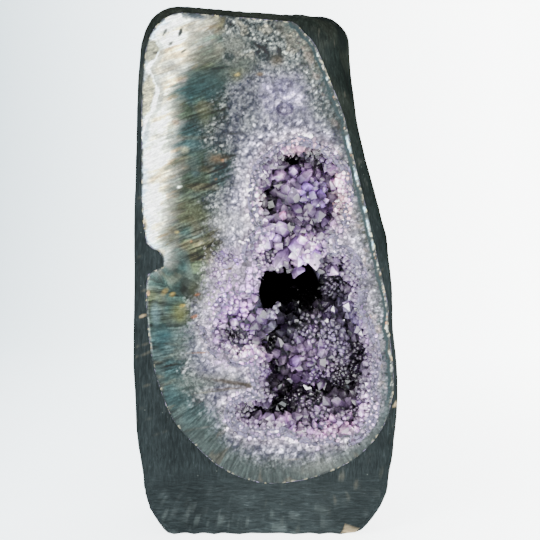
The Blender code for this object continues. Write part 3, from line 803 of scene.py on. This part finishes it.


def druse_material():
    """Ground between the crystals: tiny grains, painted shade that darkens them with depth and turns them
    black without gloss in the opening, and painted light that makes them paler near the front.
    """
    material, tree, shader = new_material("druse_ground", Roughness=0.3, IOR=1.5)
    spot = place(tree)
    grains = add(tree, "ShaderNodeTexVoronoi", {"Vector": spot, "Scale": 0.5})
    tone = ramp(tree, grains.outputs["Color"], [(0.1, surface((26, 24, 38))), (0.9, surface((92, 84, 110)))])
    away = add(tree, "ShaderNodeVectorMath", {0: spot, 1: (0, 1, -FACE_LEAN)}, operation="DOT_PRODUCT")
    away = away.outputs["Value"]
    x, z, half_x, half_z = OPENING
    centre = add(tree, "ShaderNodeMapping", {"Vector": spot, "Location": (-x / half_x, 0, -z / half_z),
                                             "Scale": (1 / half_x, 0, 1 / half_z)}).outputs[0]
    far = add(tree, "ShaderNodeVectorMath", {0: centre}, operation="LENGTH").outputs["Value"]
    lit = ramp(tree, far, [(0.80, 0.0), (1.0, 1.0)])
    # Painted shade deeper in and black in the opening, painted light near the polished plane
    colour = product(tree, tone, spread(tree, away, -68.0, -42.0, 1.0, 0.12),
                     spread(tree, away, -73.0, -68.0, 3.4, 1.0), lit)
    tree.links.new(product(tree, (0.4, 0.4, 0.4, 1), lit), shader.inputs["Specular IOR Level"])
    dress(tree, shader, colour, grains.outputs["Distance"], 0.8, 1.0)
    return material


# ------------------------------------------------------------------- the coat


FOOT, CROWN = 45 * MM, 290 * MM  # heights between which the coat is followed level by level
AROUND = 340  # points round the coat
FACE_LOW, FACE_HIGH = FACE_EDGE[:, 1].min(), FACE_EDGE[:, 1].max()


def coat_points():
    """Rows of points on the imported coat, the ways they were cast, and which lie on the flat front."""
    rows = [(FOOT, phi) for phi in np.linspace(-90, 0, 30)[:-1]]
    rows += [(height, 0) for height in np.linspace(FOOT, CROWN, 150)]
    rows += [(CROWN, phi) for phi in np.linspace(0, 90, 34)[1:]]
    heights, rises = np.array(rows).T[..., None]
    rises = np.radians(rises)
    turns = np.linspace(0, 2 * math.pi, AROUND, endpoint=False)
    ways = column(np.cos(turns) * np.cos(rises), np.sin(turns) * np.cos(rises), np.sin(rises))
    centres = from_face(0.0, (52 - 14 * heights / CROWN) * MM, heights)
    reach = depth_of(centres) / np.maximum(FACE_LEAN * ways[..., 2] - ways[..., 1], 1e-6)
    points = centres + reach[..., None] * ways
    x, z = points[..., 0], points[..., 2]
    flat = (reach < 0.4) & (z > FACE_LOW) & (z < FACE_HIGH) & inside(FACE_EDGE[::4], x, z)
    tree, _ = node_tree("painted_cement_coat", "quartz_rock")
    for i, j in zip(*np.nonzero(~flat)):
        way = Vector(ways[i, j])
        hit = tree.ray_cast(Vector(centres[i, 0]) + way * 0.4, -way)[0]
        points[i, j] = centres[i, 0] if hit is None else hit
    return points, ways, flat


def coat_skin():
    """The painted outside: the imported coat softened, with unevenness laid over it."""
    points, ways, flat = coat_points()
    depth = depth_of(points) / MM
    inner = np.where(flat, nearest(FACE_EDGE, points[..., 0], points[..., 2])[0] / MM, -1.0)
    weight = step(3, 20, depth) * step(0, 14, points[..., 2] / MM)
    points = points + weight[..., None] * (softened(points, 4, ("edge", "wrap")) - points)
    spots = points / MM
    lumps = (1.3 * (fractal(spots, 30, 201) - 0.5) + 0.5 * (fractal(spots, 8, 207) - 0.5)
             + 0.22 * (fractal(spots, 2.6, 211) - 0.5))
    lumps *= (0.15 + 0.85 * step(0, 10, depth)) * step(0, 8, spots[..., 2])
    spots = spots + ways * lumps[..., None]

    # Wider at the foot and at the upper right, with a squarer corner there
    x, z = spots[..., 0], spots[..., 2]
    wide = 0.016 + step(42, 2, z) * np.where(x > 0, 0.09, 0.05) + 0.03 * step(250, 310, z) * (x > 0)
    x *= 1 + wide * ~flat * step(0.0, 6, depth + 40 * step(30, 10, z))
    corner = step(8, 34, x) * step(292, 318, z) * ~flat
    z += 2.0 * corner
    sharp = step(24, 40, x) * step(306, 322, z) * ~flat
    x += 2.0 * sharp
    z += 2.4 * sharp
    x += 1.2 * corner * step(20, 40, x)
    spots[..., 1] += np.where(flat, 0.15 + 1.3 * step(-0.2, 1.5, inner), 0.0)
    z[:] = np.clip(z, 0, HIGH.z / MM)
    spots[0], spots[-1] = spots[0].mean(axis=0), spots[-1].mean(axis=0)

    number = np.arange(x.size).reshape(x.shape)
    beside = np.roll(number, -1, axis=1)
    quads = np.stack([number[:-1], beside[:-1], beside[1:], number[1:]], axis=-1).reshape(-1, 4)
    quads = quads[~(inner > 3.5).ravel()[quads].any(axis=1)]
    used, order = np.unique(quads, return_inverse=True)
    spots = spots.reshape(-1, 3)[used]
    obj = new_mesh("coat_skin", spots * MM, order.reshape(quads.shape))
    depth = depth_of(spots * MM) / MM
    paint(obj, "tint", coat_colours(spots, depth))
    weigh(obj, "level", step(44, 30, spots[:, 2] + 6 * (noise(spots, 9, 5) - 0.5)) * step(14, 4, depth))
    return obj


# Chips in the coat's front edge: x, z, radius
CHIPS = [(53, 1.5, 4.5), (83, 83, 2.2), (-80, 140, 1.2)]


def coat_colours(spots, depth):
    """Slate paint, with chips that show the pale cement and painted shade on the flanks, by place in mm."""
    x, z = spots[:, 0], spots[:, 2]
    fleck = step(0.80, 0.90, noise(spots, 1.7, 313)) * step(0.52, 0.6, fractal(spots, 16, 315))
    scratch = fractal(spots * [0.16, 1, 0.9] + spots[:, ::-1] * [0.05, 0, 0.25], 1.6, 317)
    wear = step(0.66, 0.74, fractal(spots, 5, 307)) * step(0.55, 0.7, fractal(spots, 30, 311))
    colour = layered(
        np.broadcast_to((60, 66, 67), spots.shape),
        ((70, 78, 79), step(60, 20, z) * step(60, 10, np.abs(x - 12))),
        ((53, 58, 56), step(10, 50, x) * step(150, 280, z)),
        ((49, 53, 51), step(312, 326, z)),
        # painted shade on the flanks, which turn away from the light
        ((46, 50, 49), step(3, 14, depth) * step(10, 60, z) * 0.85),
        ((88, 90, 78), 0.2 * step(0.5, 0.62, fractal(spots, 18, 301)) * step(240, 300, z)),
        ((120, 118, 104), 0.55 * fleck * step(60, 30, depth)),
        ((118, 128, 126), 0.6 * step(0.60, 0.72, scratch) * step(36, 8, z) * step(8, 2, depth)),
        ((116, 120, 112), 0.5 * wear))
    for cx, cz, reach in CHIPS:
        chip = step(1.1, 0.8, np.hypot(x - cx, (z - cz) * 1.4) / reach + 0.6 * (noise(spots, 1.6, 7) - 0.5))
        colour = blend(colour, (196, 184, 158), 0.9 * chip * (depth < 9))
    return colour


# ----------------------------------------------------------------- the crystals


TRIED_PLACES = 90000  # random places from which the pockets' small crystals are chosen

# Painted shade in the pockets: x, z, half-width, half-height, strength
SHADOWS = [(1.5, 121, 5, 7, 0.95), (1, 98, 4, 10, 0.4), (-10, 80, 13, 6, 0.6), (10, 80, 13, 6, 0.75),
           (52, 98, 12, 13, 0.3), (59, 115, 6, 9, 0.25), (14, 240, 8, 5, 0.88), (32, 245, 7, 4, 0.8),
           (0, 214, 5, 10, 0.85), (17.5, 199, 4, 3.5, 0.75), (38, 172, 7, 8, 0.55), (-22, 128, 9, 4, 0.5),
           (48, 206, 3, 8, 0.3), (24, 146, 14, 9, 0.7), (30, 88, 16, 5, 0.5)]
# Areas of one colour: x, z, half-width, half-height, display colour
AREAS = [(12, 135, 16, 18, (122, 123, 132)), (24, 106, 22, 16, (160, 146, 166)),
         (48, 134, 14, 22, (150, 144, 162)), (26, 181, 13, 14, (216, 203, 216)),
         (-9, 214, 9, 12, (222, 208, 216)), (28, 217, 14, 11, (202, 198, 212)),
         (9, 232, 7, 6, (190, 176, 194)), (52, 222, 10, 32, (214, 198, 198)),
         (-6, 190, 14, 12, (198, 182, 200)), (-16, 150, 20, 22, (172, 152, 180)),
         (-12, 116, 12, 8, (212, 198, 208)), (46, 66, 16, 9, (174, 154, 172)),
         (18, 68, 14, 9, (166, 149, 168)), (66, 80, 8, 16, (190, 180, 190)),
         (-6, 80, 14, 8, (132, 117, 140)), (24, 205, 16, 8, (138, 124, 142)),
         (30, 234, 14, 8, (152, 136, 158)), (24, 252, 18, 7, (196, 176, 184))]


def near_spot(x, z, place, blur):
    """Distance from the middle of a rounded place (x, z, half-width, half-height), 1 at its border."""
    cx, cz, half_x, half_z = place
    return np.hypot((x - cx) / half_x, (z - cz) / half_z) + blur


def crystal_colours(spots):
    """Colour of a crystal by where it grows: x, d, z in mm, with painted shade deeper in, in the pockets'
    dark places and, nearly black, in the opening.
    """
    x, d, z = spots.T
    blur = 0.7 * (fractal(spots, 6, 411) - 0.5)
    colour = layered(np.broadcast_to((150, 139, 156), spots.shape),
                     *((tint, 0.92 * step(1.25, 0.5, near_spot(x, z, area, blur))) for *area, tint in AREAS))
    colour = blend(colour, colour * [0.80, 0.72, 0.86], step(0.56, 0.68, fractal(spots, 10, 405)))
    colour = blend(colour, colour * [0.92, 0.93, 0.95], step(0.56, 0.7, fractal(spots, 13, 409)))
    # Painted shade: darker with depth, in the dark places of the pockets, and nearly black in the opening
    light = np.exp(-np.maximum(d - 16, 0) / 70)
    for *area, strength in SHADOWS:
        light *= 1 - strength * step(1.3, 0.4, near_spot(x, z, area, blur)) * step(-2, 6, d)
    hole = step(-2.0, 1.5, signed_far(dense(SHADED_OPENING, 0.5), x, z))
    return colour * (light * (1 - 0.95 * hole))[:, None]


def open_places(names, count, field):
    """Random places on the open surface of some nodes inside the pockets, with their normals."""
    x, z, outer, p, _ = field
    rng = np.random.default_rng(SEED)
    everything, _ = node_tree(*NODES)
    corners = [points[faces] for points, faces in map(node_arrays, names)]
    cross = [np.cross(each[:, 1] - each[:, 0], each[:, 2] - each[:, 0]) for each in corners]
    areas = [np.linalg.norm(each, axis=1) / 2 for each in cross]
    whole = sum(area.sum() for area in areas)
    places, ways = [], []
    for triangles, normals, area in zip(corners, cross, areas):
        share = int(count * area.sum() / whole)
        pick = rng.choice(len(area), share, p=area / area.sum())
        u, v = rng.random(share), rng.random(share)
        flip = u + v > 1
        u, v = np.where(flip, 1 - u, u)[:, None], np.where(flip, 1 - v, v)[:, None]
        a, b, c = triangles[pick].transpose(1, 0, 2)
        spots = a + (b - a) * u + (c - a) * v
        normals = normals[pick] / np.maximum(2 * area[pick], 1e-18)[:, None]
        i, j = (np.clip(np.round((spots[:, k] / MM - grid[0, 0]) / GRID).astype(int), 0, grid.shape[axis] - 1)
                for k, grid, axis in ((0, x, 0), (2, z, 1)))
        shut = (depth_of(spots) < 1.2 * MM) & (normals[:, 1] < -0.9) | (p[i, j] > 12) | (outer[i, j] < 6)
        for spot, way in zip(spots[~shut], normals[~shut]):
            if everything.ray_cast(Vector(spot + way * 0.05 * MM), Vector(way), 3 * MM)[0] is None:
                places.append(spot)
                ways.append(way)
    order = rng.permutation(len(places))
    return np.array(places)[order], np.array(ways)[order]


NEIGHBOURS = list(itertools.product((-1, 0, 1), repeat=3))


def spread_out(places, radii, spacing):
    """Numbers of the places kept so that none stands too near another."""
    boxes, kept = {}, []
    for number, (spot, radius) in enumerate(zip(places, radii)):
        a, b, c = np.floor(spot / (6 * MM)).astype(int).tolist()
        near = (other for i, j, k in NEIGHBOURS for other in boxes.get((a + i, b + j, c + k), ()))
        if all(math.dist(spot, places[other]) >= spacing * 0.5 * (radius + radii[other]) for other in near):
            boxes.setdefault((a, b, c), []).append(number)
            kept.append(number)
    return kept


# A crystal's faces by its points: six round the root, six round the shoulders, and the tip
FACETS = [[i, (i + 1) % 6, 6 + (i + 1) % 6, 6 + i] for i in range(6)]
FACETS += [[6 + i, 6 + (i + 1) % 6, 12] for i in range(6)]
# Tone of a crystal's faces: darker at the root as painted shade where crystals crowd together, mid at the
# shoulders, paler at the tip
ROOT_SHADE_TONE, EDGE_TONE, TIP_TONE = (0.50, 0.42, 0.56), (0.86, 0.78, 0.89), (1.13, 1.13, 1.11)


def crystals(name, roots, ways, radii, lengths, tints, rng, cut=0.55 * MM, buried=0.35, contrast=1.0,
             glint=0.02, smooth=0.0):
    """Many six-sided quartz crystals with natural three-and-three pointed ends.

    cut is the depth in front of which no point stands, buried the share of the length below the root,
    contrast how much a crystal's faces differ, glint the share of crystals with one bright face, and
    smooth the radius in mm below which crystals are rounded by their shading.
    """
    count = len(roots)
    ways = ways / np.linalg.norm(ways, axis=1)[:, None]
    helper = np.where(np.abs(ways[:, 2:]) < 0.8, [[0, 0, 1]], [[1, 0, 0]])
    side = np.cross(ways, helper)
    side /= np.linalg.norm(side, axis=1)[:, None]
    other = np.cross(ways, side)
    turn = rng.uniform(0, math.pi, count)
    points = np.zeros((count, 13, 3))
    tip = roots + ways * lengths[:, None]
    uneven = rng.uniform(0.82, 1.12, (count, 6))
    for corner in range(6):
        angle = turn + corner * math.pi / 3
        ring = np.cos(angle)[:, None] * side + np.sin(angle)[:, None] * other
        ring = ring * (radii * uneven[:, corner])[:, None]
        points[:, corner] = roots - ways * (buried * lengths)[:, None] + ring * 0.92
        drop = radii * (1.05 + 0.3 * (corner % 2) + rng.uniform(-0.12, 0.12, count))
        points[:, 6 + corner] = tip - ways * np.minimum(drop, 0.9 * lengths)[:, None] + ring
    lean = rng.uniform(-0.22, 0.22, (count, 2)) * radii[:, None]
    points[:, 12] = tip + side * lean[:, :1] + other * lean[:, 1:]
    points[..., 1] += np.maximum(cut - depth_of(points), 0)
    # Painted light: each face a little lighter or darker at random as if catching light differently, and a
    # share with one face painted bright as a glint
    bright = rng.uniform(0.84, 1.16, (count, 12))
    glints = rng.integers(0, 12, count)
    bright[np.arange(count), glints] *= np.where(rng.random(count) < glint, 1.7, 1.0)
    faces = [[13 * k + corner for corner in facet] for k in range(count) for facet in FACETS]
    obj = new_mesh(name, points.reshape(-1, 3), faces)
    obj.data.polygons.foreach_set("use_smooth", np.repeat(radii < smooth * MM, 12))
    level = np.array([ROOT_SHADE_TONE, ROOT_SHADE_TONE, EDGE_TONE, EDGE_TONE] * 6 + [EDGE_TONE, EDGE_TONE, TIP_TONE] * 6)
    contrast = np.broadcast_to(contrast, count)[:, None, None]
    level = 1 + contrast * (level[None] - 1)
    facet_of = [k for k in range(6) for _ in range(4)] + [6 + k for k in range(6) for _ in range(3)]
    tone = level * (1 + contrast * (bright[:, facet_of, None] - 1))
    values = np.ones((count, level.shape[1], 4))
    values[..., :3] = surface(tints[:, None, :] * tone)
    layer = obj.data.color_attributes.new("tint", "FLOAT_COLOR", "CORNER")
    layer.data.foreach_set("color", values.ravel())
    return obj


def druse_crystals(field):
    """Small crystals all over the open pocket surfaces."""
    rng = np.random.default_rng(SEED)
    places, ways = open_places(DRUSES + ("quartz_rock",), TRIED_PLACES, field)
    depth = depth_of(places) / MM
    spots = np.stack([places[:, 0] / MM, depth, places[:, 2] / MM], axis=1)
    radii = 1.4 + 2.2 * step(0.38, 0.66, fractal(spots, 16, 501)) + rng.uniform(0, 1.0, len(places)) ** 2
    upper = step(180, 200, spots[:, 2]) * step(4, 10, depth)
    radii = radii + 1.5 * upper * rng.uniform(0.2, 1, len(places))
    radii = np.where(depth < 4, np.minimum(radii, 2.4), radii) * MM
    in_hole = inside(SHADED_OPENING, spots[:, 0], spots[:, 2])
    kept = [k for k in spread_out(places, radii, 1.2) if depth[k] > 22 or not in_hole[k]]
    ways, radii, spots = ways[kept], radii[kept], spots[kept]
    ways = ways + rng.normal(0, 0.26, ways.shape) + np.array([0, -0.18, 0.08])
    lengths = radii * rng.uniform(1.25, 2.0, len(radii))
    tints = crystal_colours(spots) * rng.uniform(0.84, 1.14, (len(spots), 1))
    return crystals("druse_crystals", places[kept], ways, radii, lengths, tints, rng, smooth=2.4)


def edge_crystals(field):
    """Low crystals that carry the pocket's lining out over the polished face."""
    x, z, outer, p, colours = field
    rng = np.random.default_rng(SEED + 2)
    slope = slope_share(x, z)
    reach = 2.5 + 3 * fractal(column(x, z), 14, 601, 2) + 26 * slope
    chance = np.clip(1.6 * (1 - p / reach), 0, 1) * (p > -4) * (outer > 5)
    chance = np.maximum(chance, 0.9 * slope * (p > -4))
    chance = chance * (signed_far(dense(SHADED_OPENING, 0.5), x, z) < -1)
    near = np.nonzero((rng.random(x.shape) < chance).ravel())[0]
    rng.shuffle(near)
    fall_x, fall_z = np.gradient(p, GRID, GRID)
    size = lines(x, z, 10, 607)
    x, z, p, slope, size, reach, fall_x, fall_z = (
        grid.ravel()[near] for grid in (x, z, p, slope, size, reach, fall_x, fall_z))
    away = p / reach * (1 - slope)
    radii = (1.5 + 2.0 * step(0.4, 0.7, size) * step(0.9, 0.1, away) + rng.uniform(0, 0.8, len(near))) * MM
    lengths = radii * rng.uniform(1.1, 1.5, len(near))
    tip = rng.uniform(-1.0, 0.2, len(near)) - 1.0 * slope + 1.2 * step(0, -3, p) - 0.5 * (away > 0.5)
    places = from_face(x * MM, tip * MM + lengths, z * MM)
    kept = spread_out(places, radii, 1.35)
    ways = column(-0.35 * fall_x, -1.0, -0.35 * fall_z)[kept]
    ways = ways + rng.normal(0, 0.3, ways.shape) * [1, 0, 1]
    own = crystal_colours(column(x, 2.0, z)[kept]) * 1.12
    tints = blend(colours.reshape(-1, 3)[near[kept]] * 1.1, own, step(1.0, 0.2, away[kept]) * 0.85)
    tints = tints * rng.uniform(0.88, 1.1, (len(kept), 1))
    return crystals("edge_crystals", places[kept], ways, radii[kept], lengths[kept], tints, rng,
                    cut=-2.2 * MM, buried=0.2, contrast=0.4 + 0.7 * slope[kept], smooth=2.2)


# Crystals that stand out: x, z, depth of the tip, radius, length, lean (x, z), display colour
LARGE_CRYSTALS = [
    (23.5, 192, 2.0, 4.4, 13, (-0.05, 0.9), (214, 196, 214)),
    (32, 185.5, 2.4, 4.3, 12, (0.9, 0.45), (220, 204, 222)),
    (34, 178.5, 2.8, 4.2, 12, (1.1, -0.2), (212, 198, 218)),
    (28, 173.5, 2.8, 4.6, 12, (0.35, -1.0), (216, 200, 220)),
    (20.5, 171, 3.0, 4.2, 12, (-0.2, -1.1), (208, 192, 214)),
    (15, 177, 2.4, 4.2, 12, (-1.0, -0.35), (210, 194, 214)),
    (19, 183, 1.4, 4.4, 11, (-0.5, 0.4), (222, 208, 224)),
    (26.5, 181, 0.9, 4.2, 10, (0.1, -0.1), (226, 214, 228)),
    (8.7, 170.5, 2.2, 4.4, 12, (-0.1, -0.55), (188, 176, 200)),
    (5, 197, 3.0, 3.8, 11, (0.7, 0.5), (198, 182, 202)),
    (-8, 219, 1.4, 5.6, 14, (0.25, 0.3), (224, 208, 218)),
    (-8.5, 210, 1.2, 6.0, 14, (0.5, -0.1), (226, 210, 220)),
    (22, 247, 3.0, 3.0, 12, (0.0, -0.9), (206, 190, 206)),
    (10, 231, 7.0, 4.8, 12, (0.2, 0.1), (196, 182, 200)),
    (18.5, 235, 6.0, 3.6, 11, (0.1, 0.4), (182, 168, 190)),
    (16.5, 219.5, 5.0, 4.0, 12, (-0.3, 0.3), (176, 168, 192)),
    (27, 217, 4.0, 4.2, 12, (0.1, 0.2), (206, 202, 218)),
    (34, 211, 5.0, 3.4, 11, (0.3, -0.1), (186, 182, 202)),
    (10.5, 205.5, 6.0, 3.2, 10, (-0.2, 0.3), (190, 164, 184)),
    (51.5, 197, 2.0, 4.2, 11, (-0.4, 0.0), (208, 196, 204)),
    (38, 224, 6.0, 3.2, 10, (0.2, 0.2), (150, 136, 168)),
    (-12, 193, 1.6, 4.8, 11, (0.15, 0.1), (200, 184, 206)),
    (0.5, 189, 2.2, 4.2, 11, (0.1, -0.1), (186, 168, 194)),
    (-13.5, 180, 1.6, 4.4, 11, (0.1, 0.1), (196, 182, 204)),
    (46, 180, 2.4, 3.4, 10, (-0.1, 0.1), (196, 188, 190)),
    (-5, 114, 1.4, 5.2, 12, (0.3, 0.1), (206, 196, 210)),
    (-19, 135, 1.6, 3.2, 10, (0.4, -0.2), (222, 214, 226)),
    (-24, 148, 1.5, 3.8, 10, (0.3, 0.2), (188, 166, 194)),
    (-16, 152, 1.5, 3.6, 10, (0.5, 0.1), (178, 152, 188)),
    (-12, 144, 2.5, 3.6, 10, (0.6, -0.1), (186, 164, 196)),
]


def large_crystals():
    """The large crystals, each from its own line of the table."""
    rng = np.random.default_rng(SEED + 3)
    x, z, depth, radii, lengths, leans, tints = map(np.array, zip(*LARGE_CRYSTALS))
    ways = np.insert(leans, 1, -1, axis=1)
    ways /= np.linalg.norm(ways, axis=1)[:, None]
    roots = from_face(x * MM, depth * MM, z * MM) - ways * lengths[:, None] * MM
    return crystals("large_crystals", roots, ways, radii * MM, lengths * MM, tints, rng,
                    cut=0.2 * MM, buried=0.1)


def node_crystal(name):
    """Root, direction, radius and length of a single packed crystal."""
    points, _ = node_arrays(name)
    between = np.linalg.norm(points[:, None, :] - points[None, :, :], axis=2)
    alone = np.sort(between, axis=1)[:, 1].argmax()
    base = points[np.argsort(between[alone])[-6:]]
    root, way = base.mean(axis=0), points[alone] - base.mean(axis=0)
    return root, way, np.linalg.norm(base - root, axis=1).max(), np.linalg.norm(way)


def single_crystals():
    """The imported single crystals, in their finished shape."""
    rng = np.random.default_rng(SEED + 1)
    roots, ways, radii, lengths = map(np.array, zip(*map(node_crystal, SINGLE_CRYSTALS)))
    tints = (200, 188, 208) * rng.uniform(0.92, 1.05, (len(roots), 1))
    return crystals("pale_crystals", roots, ways, radii, lengths, tints, rng, cut=0.6 * MM, buried=0.0)


# ----------------------------------------------------------------------- stage


SWEEP_HALF_WIDTH, SWEEP_FRONT, SWEEP_BEND, SWEEP_RADIUS, SWEEP_TOP = 3, -1.6, 0.9, 0.6, 2.6
SUBJECT = (0, 0, 0.17)
# Soft lights: name, place, size, power, where it points
LAMPS = [("key", (-0.8, -1.3, 1.2), 0.7, 60, SUBJECT), ("fill", (0.45, -1.5, 0.5), 0.7, 17, SUBJECT),
         ("top", (0.1, -0.2, 1.6), 0.9, 16, SUBJECT), ("back", (0.3, 0.95, 1.9), 1.4, 8, (0, 1.5, 0.5))]
# Colour of the paper's glow from left to right
GLOW = [(0.0, (0.24, 0.34, 0.39)), (0.35, (0.95, 1.06, 1.12)), (0.62, (1.3, 1.36, 1.37)),
        (1.0, (2.2, 2.24, 2.2))]
CAMERA_DISTANCE, CAMERA_RISE, VIEW_WIDTH, SENSOR = 1.1, math.radians(4), 0.3467, 36


def aim(obj, spot, target):
    """Put a light or the camera at a spot, pointed at a target."""
    obj.location = spot
    obj.rotation_euler = (Vector(target) - Vector(spot)).to_track_quat("-Z", "Y").to_euler()
    bpy.context.collection.objects.link(obj)


def paper_sweep():
    """Pale floor that sweeps up into a backdrop, glowing as painted light that grows brighter from left to
    right.
    """
    profile = [(SWEEP_FRONT, 0), (SWEEP_BEND, 0)]
    profile += [(SWEEP_BEND + SWEEP_RADIUS * math.sin(a), SWEEP_RADIUS - SWEEP_RADIUS * math.cos(a))
                for a in np.linspace(0.1, math.pi / 2, 14)]
    profile += [(SWEEP_BEND + SWEEP_RADIUS, SWEEP_TOP)]
    points = [(x, y, z) for y, z in profile for x in (-SWEEP_HALF_WIDTH, SWEEP_HALF_WIDTH)]
    faces = [[2 * k, 2 * k + 1, 2 * k + 3, 2 * k + 2] for k in range(len(profile) - 1)]
    sweep = new_mesh("studio_sweep", points, faces)
    material, tree, shader = new_material("studio_paper", Roughness=0.9, Base_Color=(0.42, 0.45, 0.46, 1))
    spot = add(tree, "ShaderNodeTexCoord").outputs["Object"]
    across, toward, _ = add(tree, "ShaderNodeSeparateXYZ", {"Vector": spot}).outputs
    tree.links.new(ramp(tree, spread(tree, across, -0.45, 0.35), GLOW), shader.inputs["Emission Color"])
    tree.links.new(spread(tree, toward, -0.16, 0.05, 3.4, 3.2), shader.inputs["Emission Strength"])
    sweep.data.materials.append(material)


def studio():
    """The backdrop, soft lights and the camera."""
    paper_sweep()
    world = bpy.data.worlds.new("studio")
    world.use_nodes = True
    background = world.node_tree.nodes["Background"]
    background.inputs["Color"].default_value = (0.93, 0.97, 1.0, 1)
    background.inputs["Strength"].default_value = 0.4
    bpy.context.scene.world = world
    for name, spot, size, power, target in LAMPS:
        lamp = bpy.data.lights.new(name, "AREA")
        lamp.size, lamp.energy = size, power
        obj = bpy.data.objects.new(name, lamp)
        aim(obj, spot, target)

    target = Vector((0.0026, LOW.y + 0.012, 0.1698))
    camera = bpy.data.objects.new("camera", bpy.data.cameras.new("camera"))
    way = Vector((0, -math.cos(CAMERA_RISE), math.sin(CAMERA_RISE)))
    aim(camera, target + CAMERA_DISTANCE * way, target)
    camera.data.sensor_width, camera.data.lens = SENSOR, SENSOR * CAMERA_DISTANCE / VIEW_WIDTH
    bpy.context.scene.camera = camera


# ----------------------------------------------------------------------- build


def clad(obj, material):
    """Give a piece its material and slot, and let it ride the stone."""
    obj.data.materials.clear()
    obj.data.materials.append(material)
    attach(obj, "root")


skin = coat_skin()
clad(skin, coat_material())
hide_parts("painted_cement_coat")
face, field = polished_face()
clad(face, face_material())
amethyst = crystal_material("amethyst_crystal")
clad(druse_crystals(field), amethyst)
clad(edge_crystals(field), amethyst)
clad(large_crystals(), crystal_material("large_crystal", 0.1))
pale = single_crystals()
clad(pale, crystal_material("pale_crystal", 0.08))
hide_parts(*SINGLE_CRYSTALS)
ground = druse_material()
for name in DRUSES + ("quartz_rock",):
    for slot in NODES[name].material_slots:
        slot.material = ground
studio()
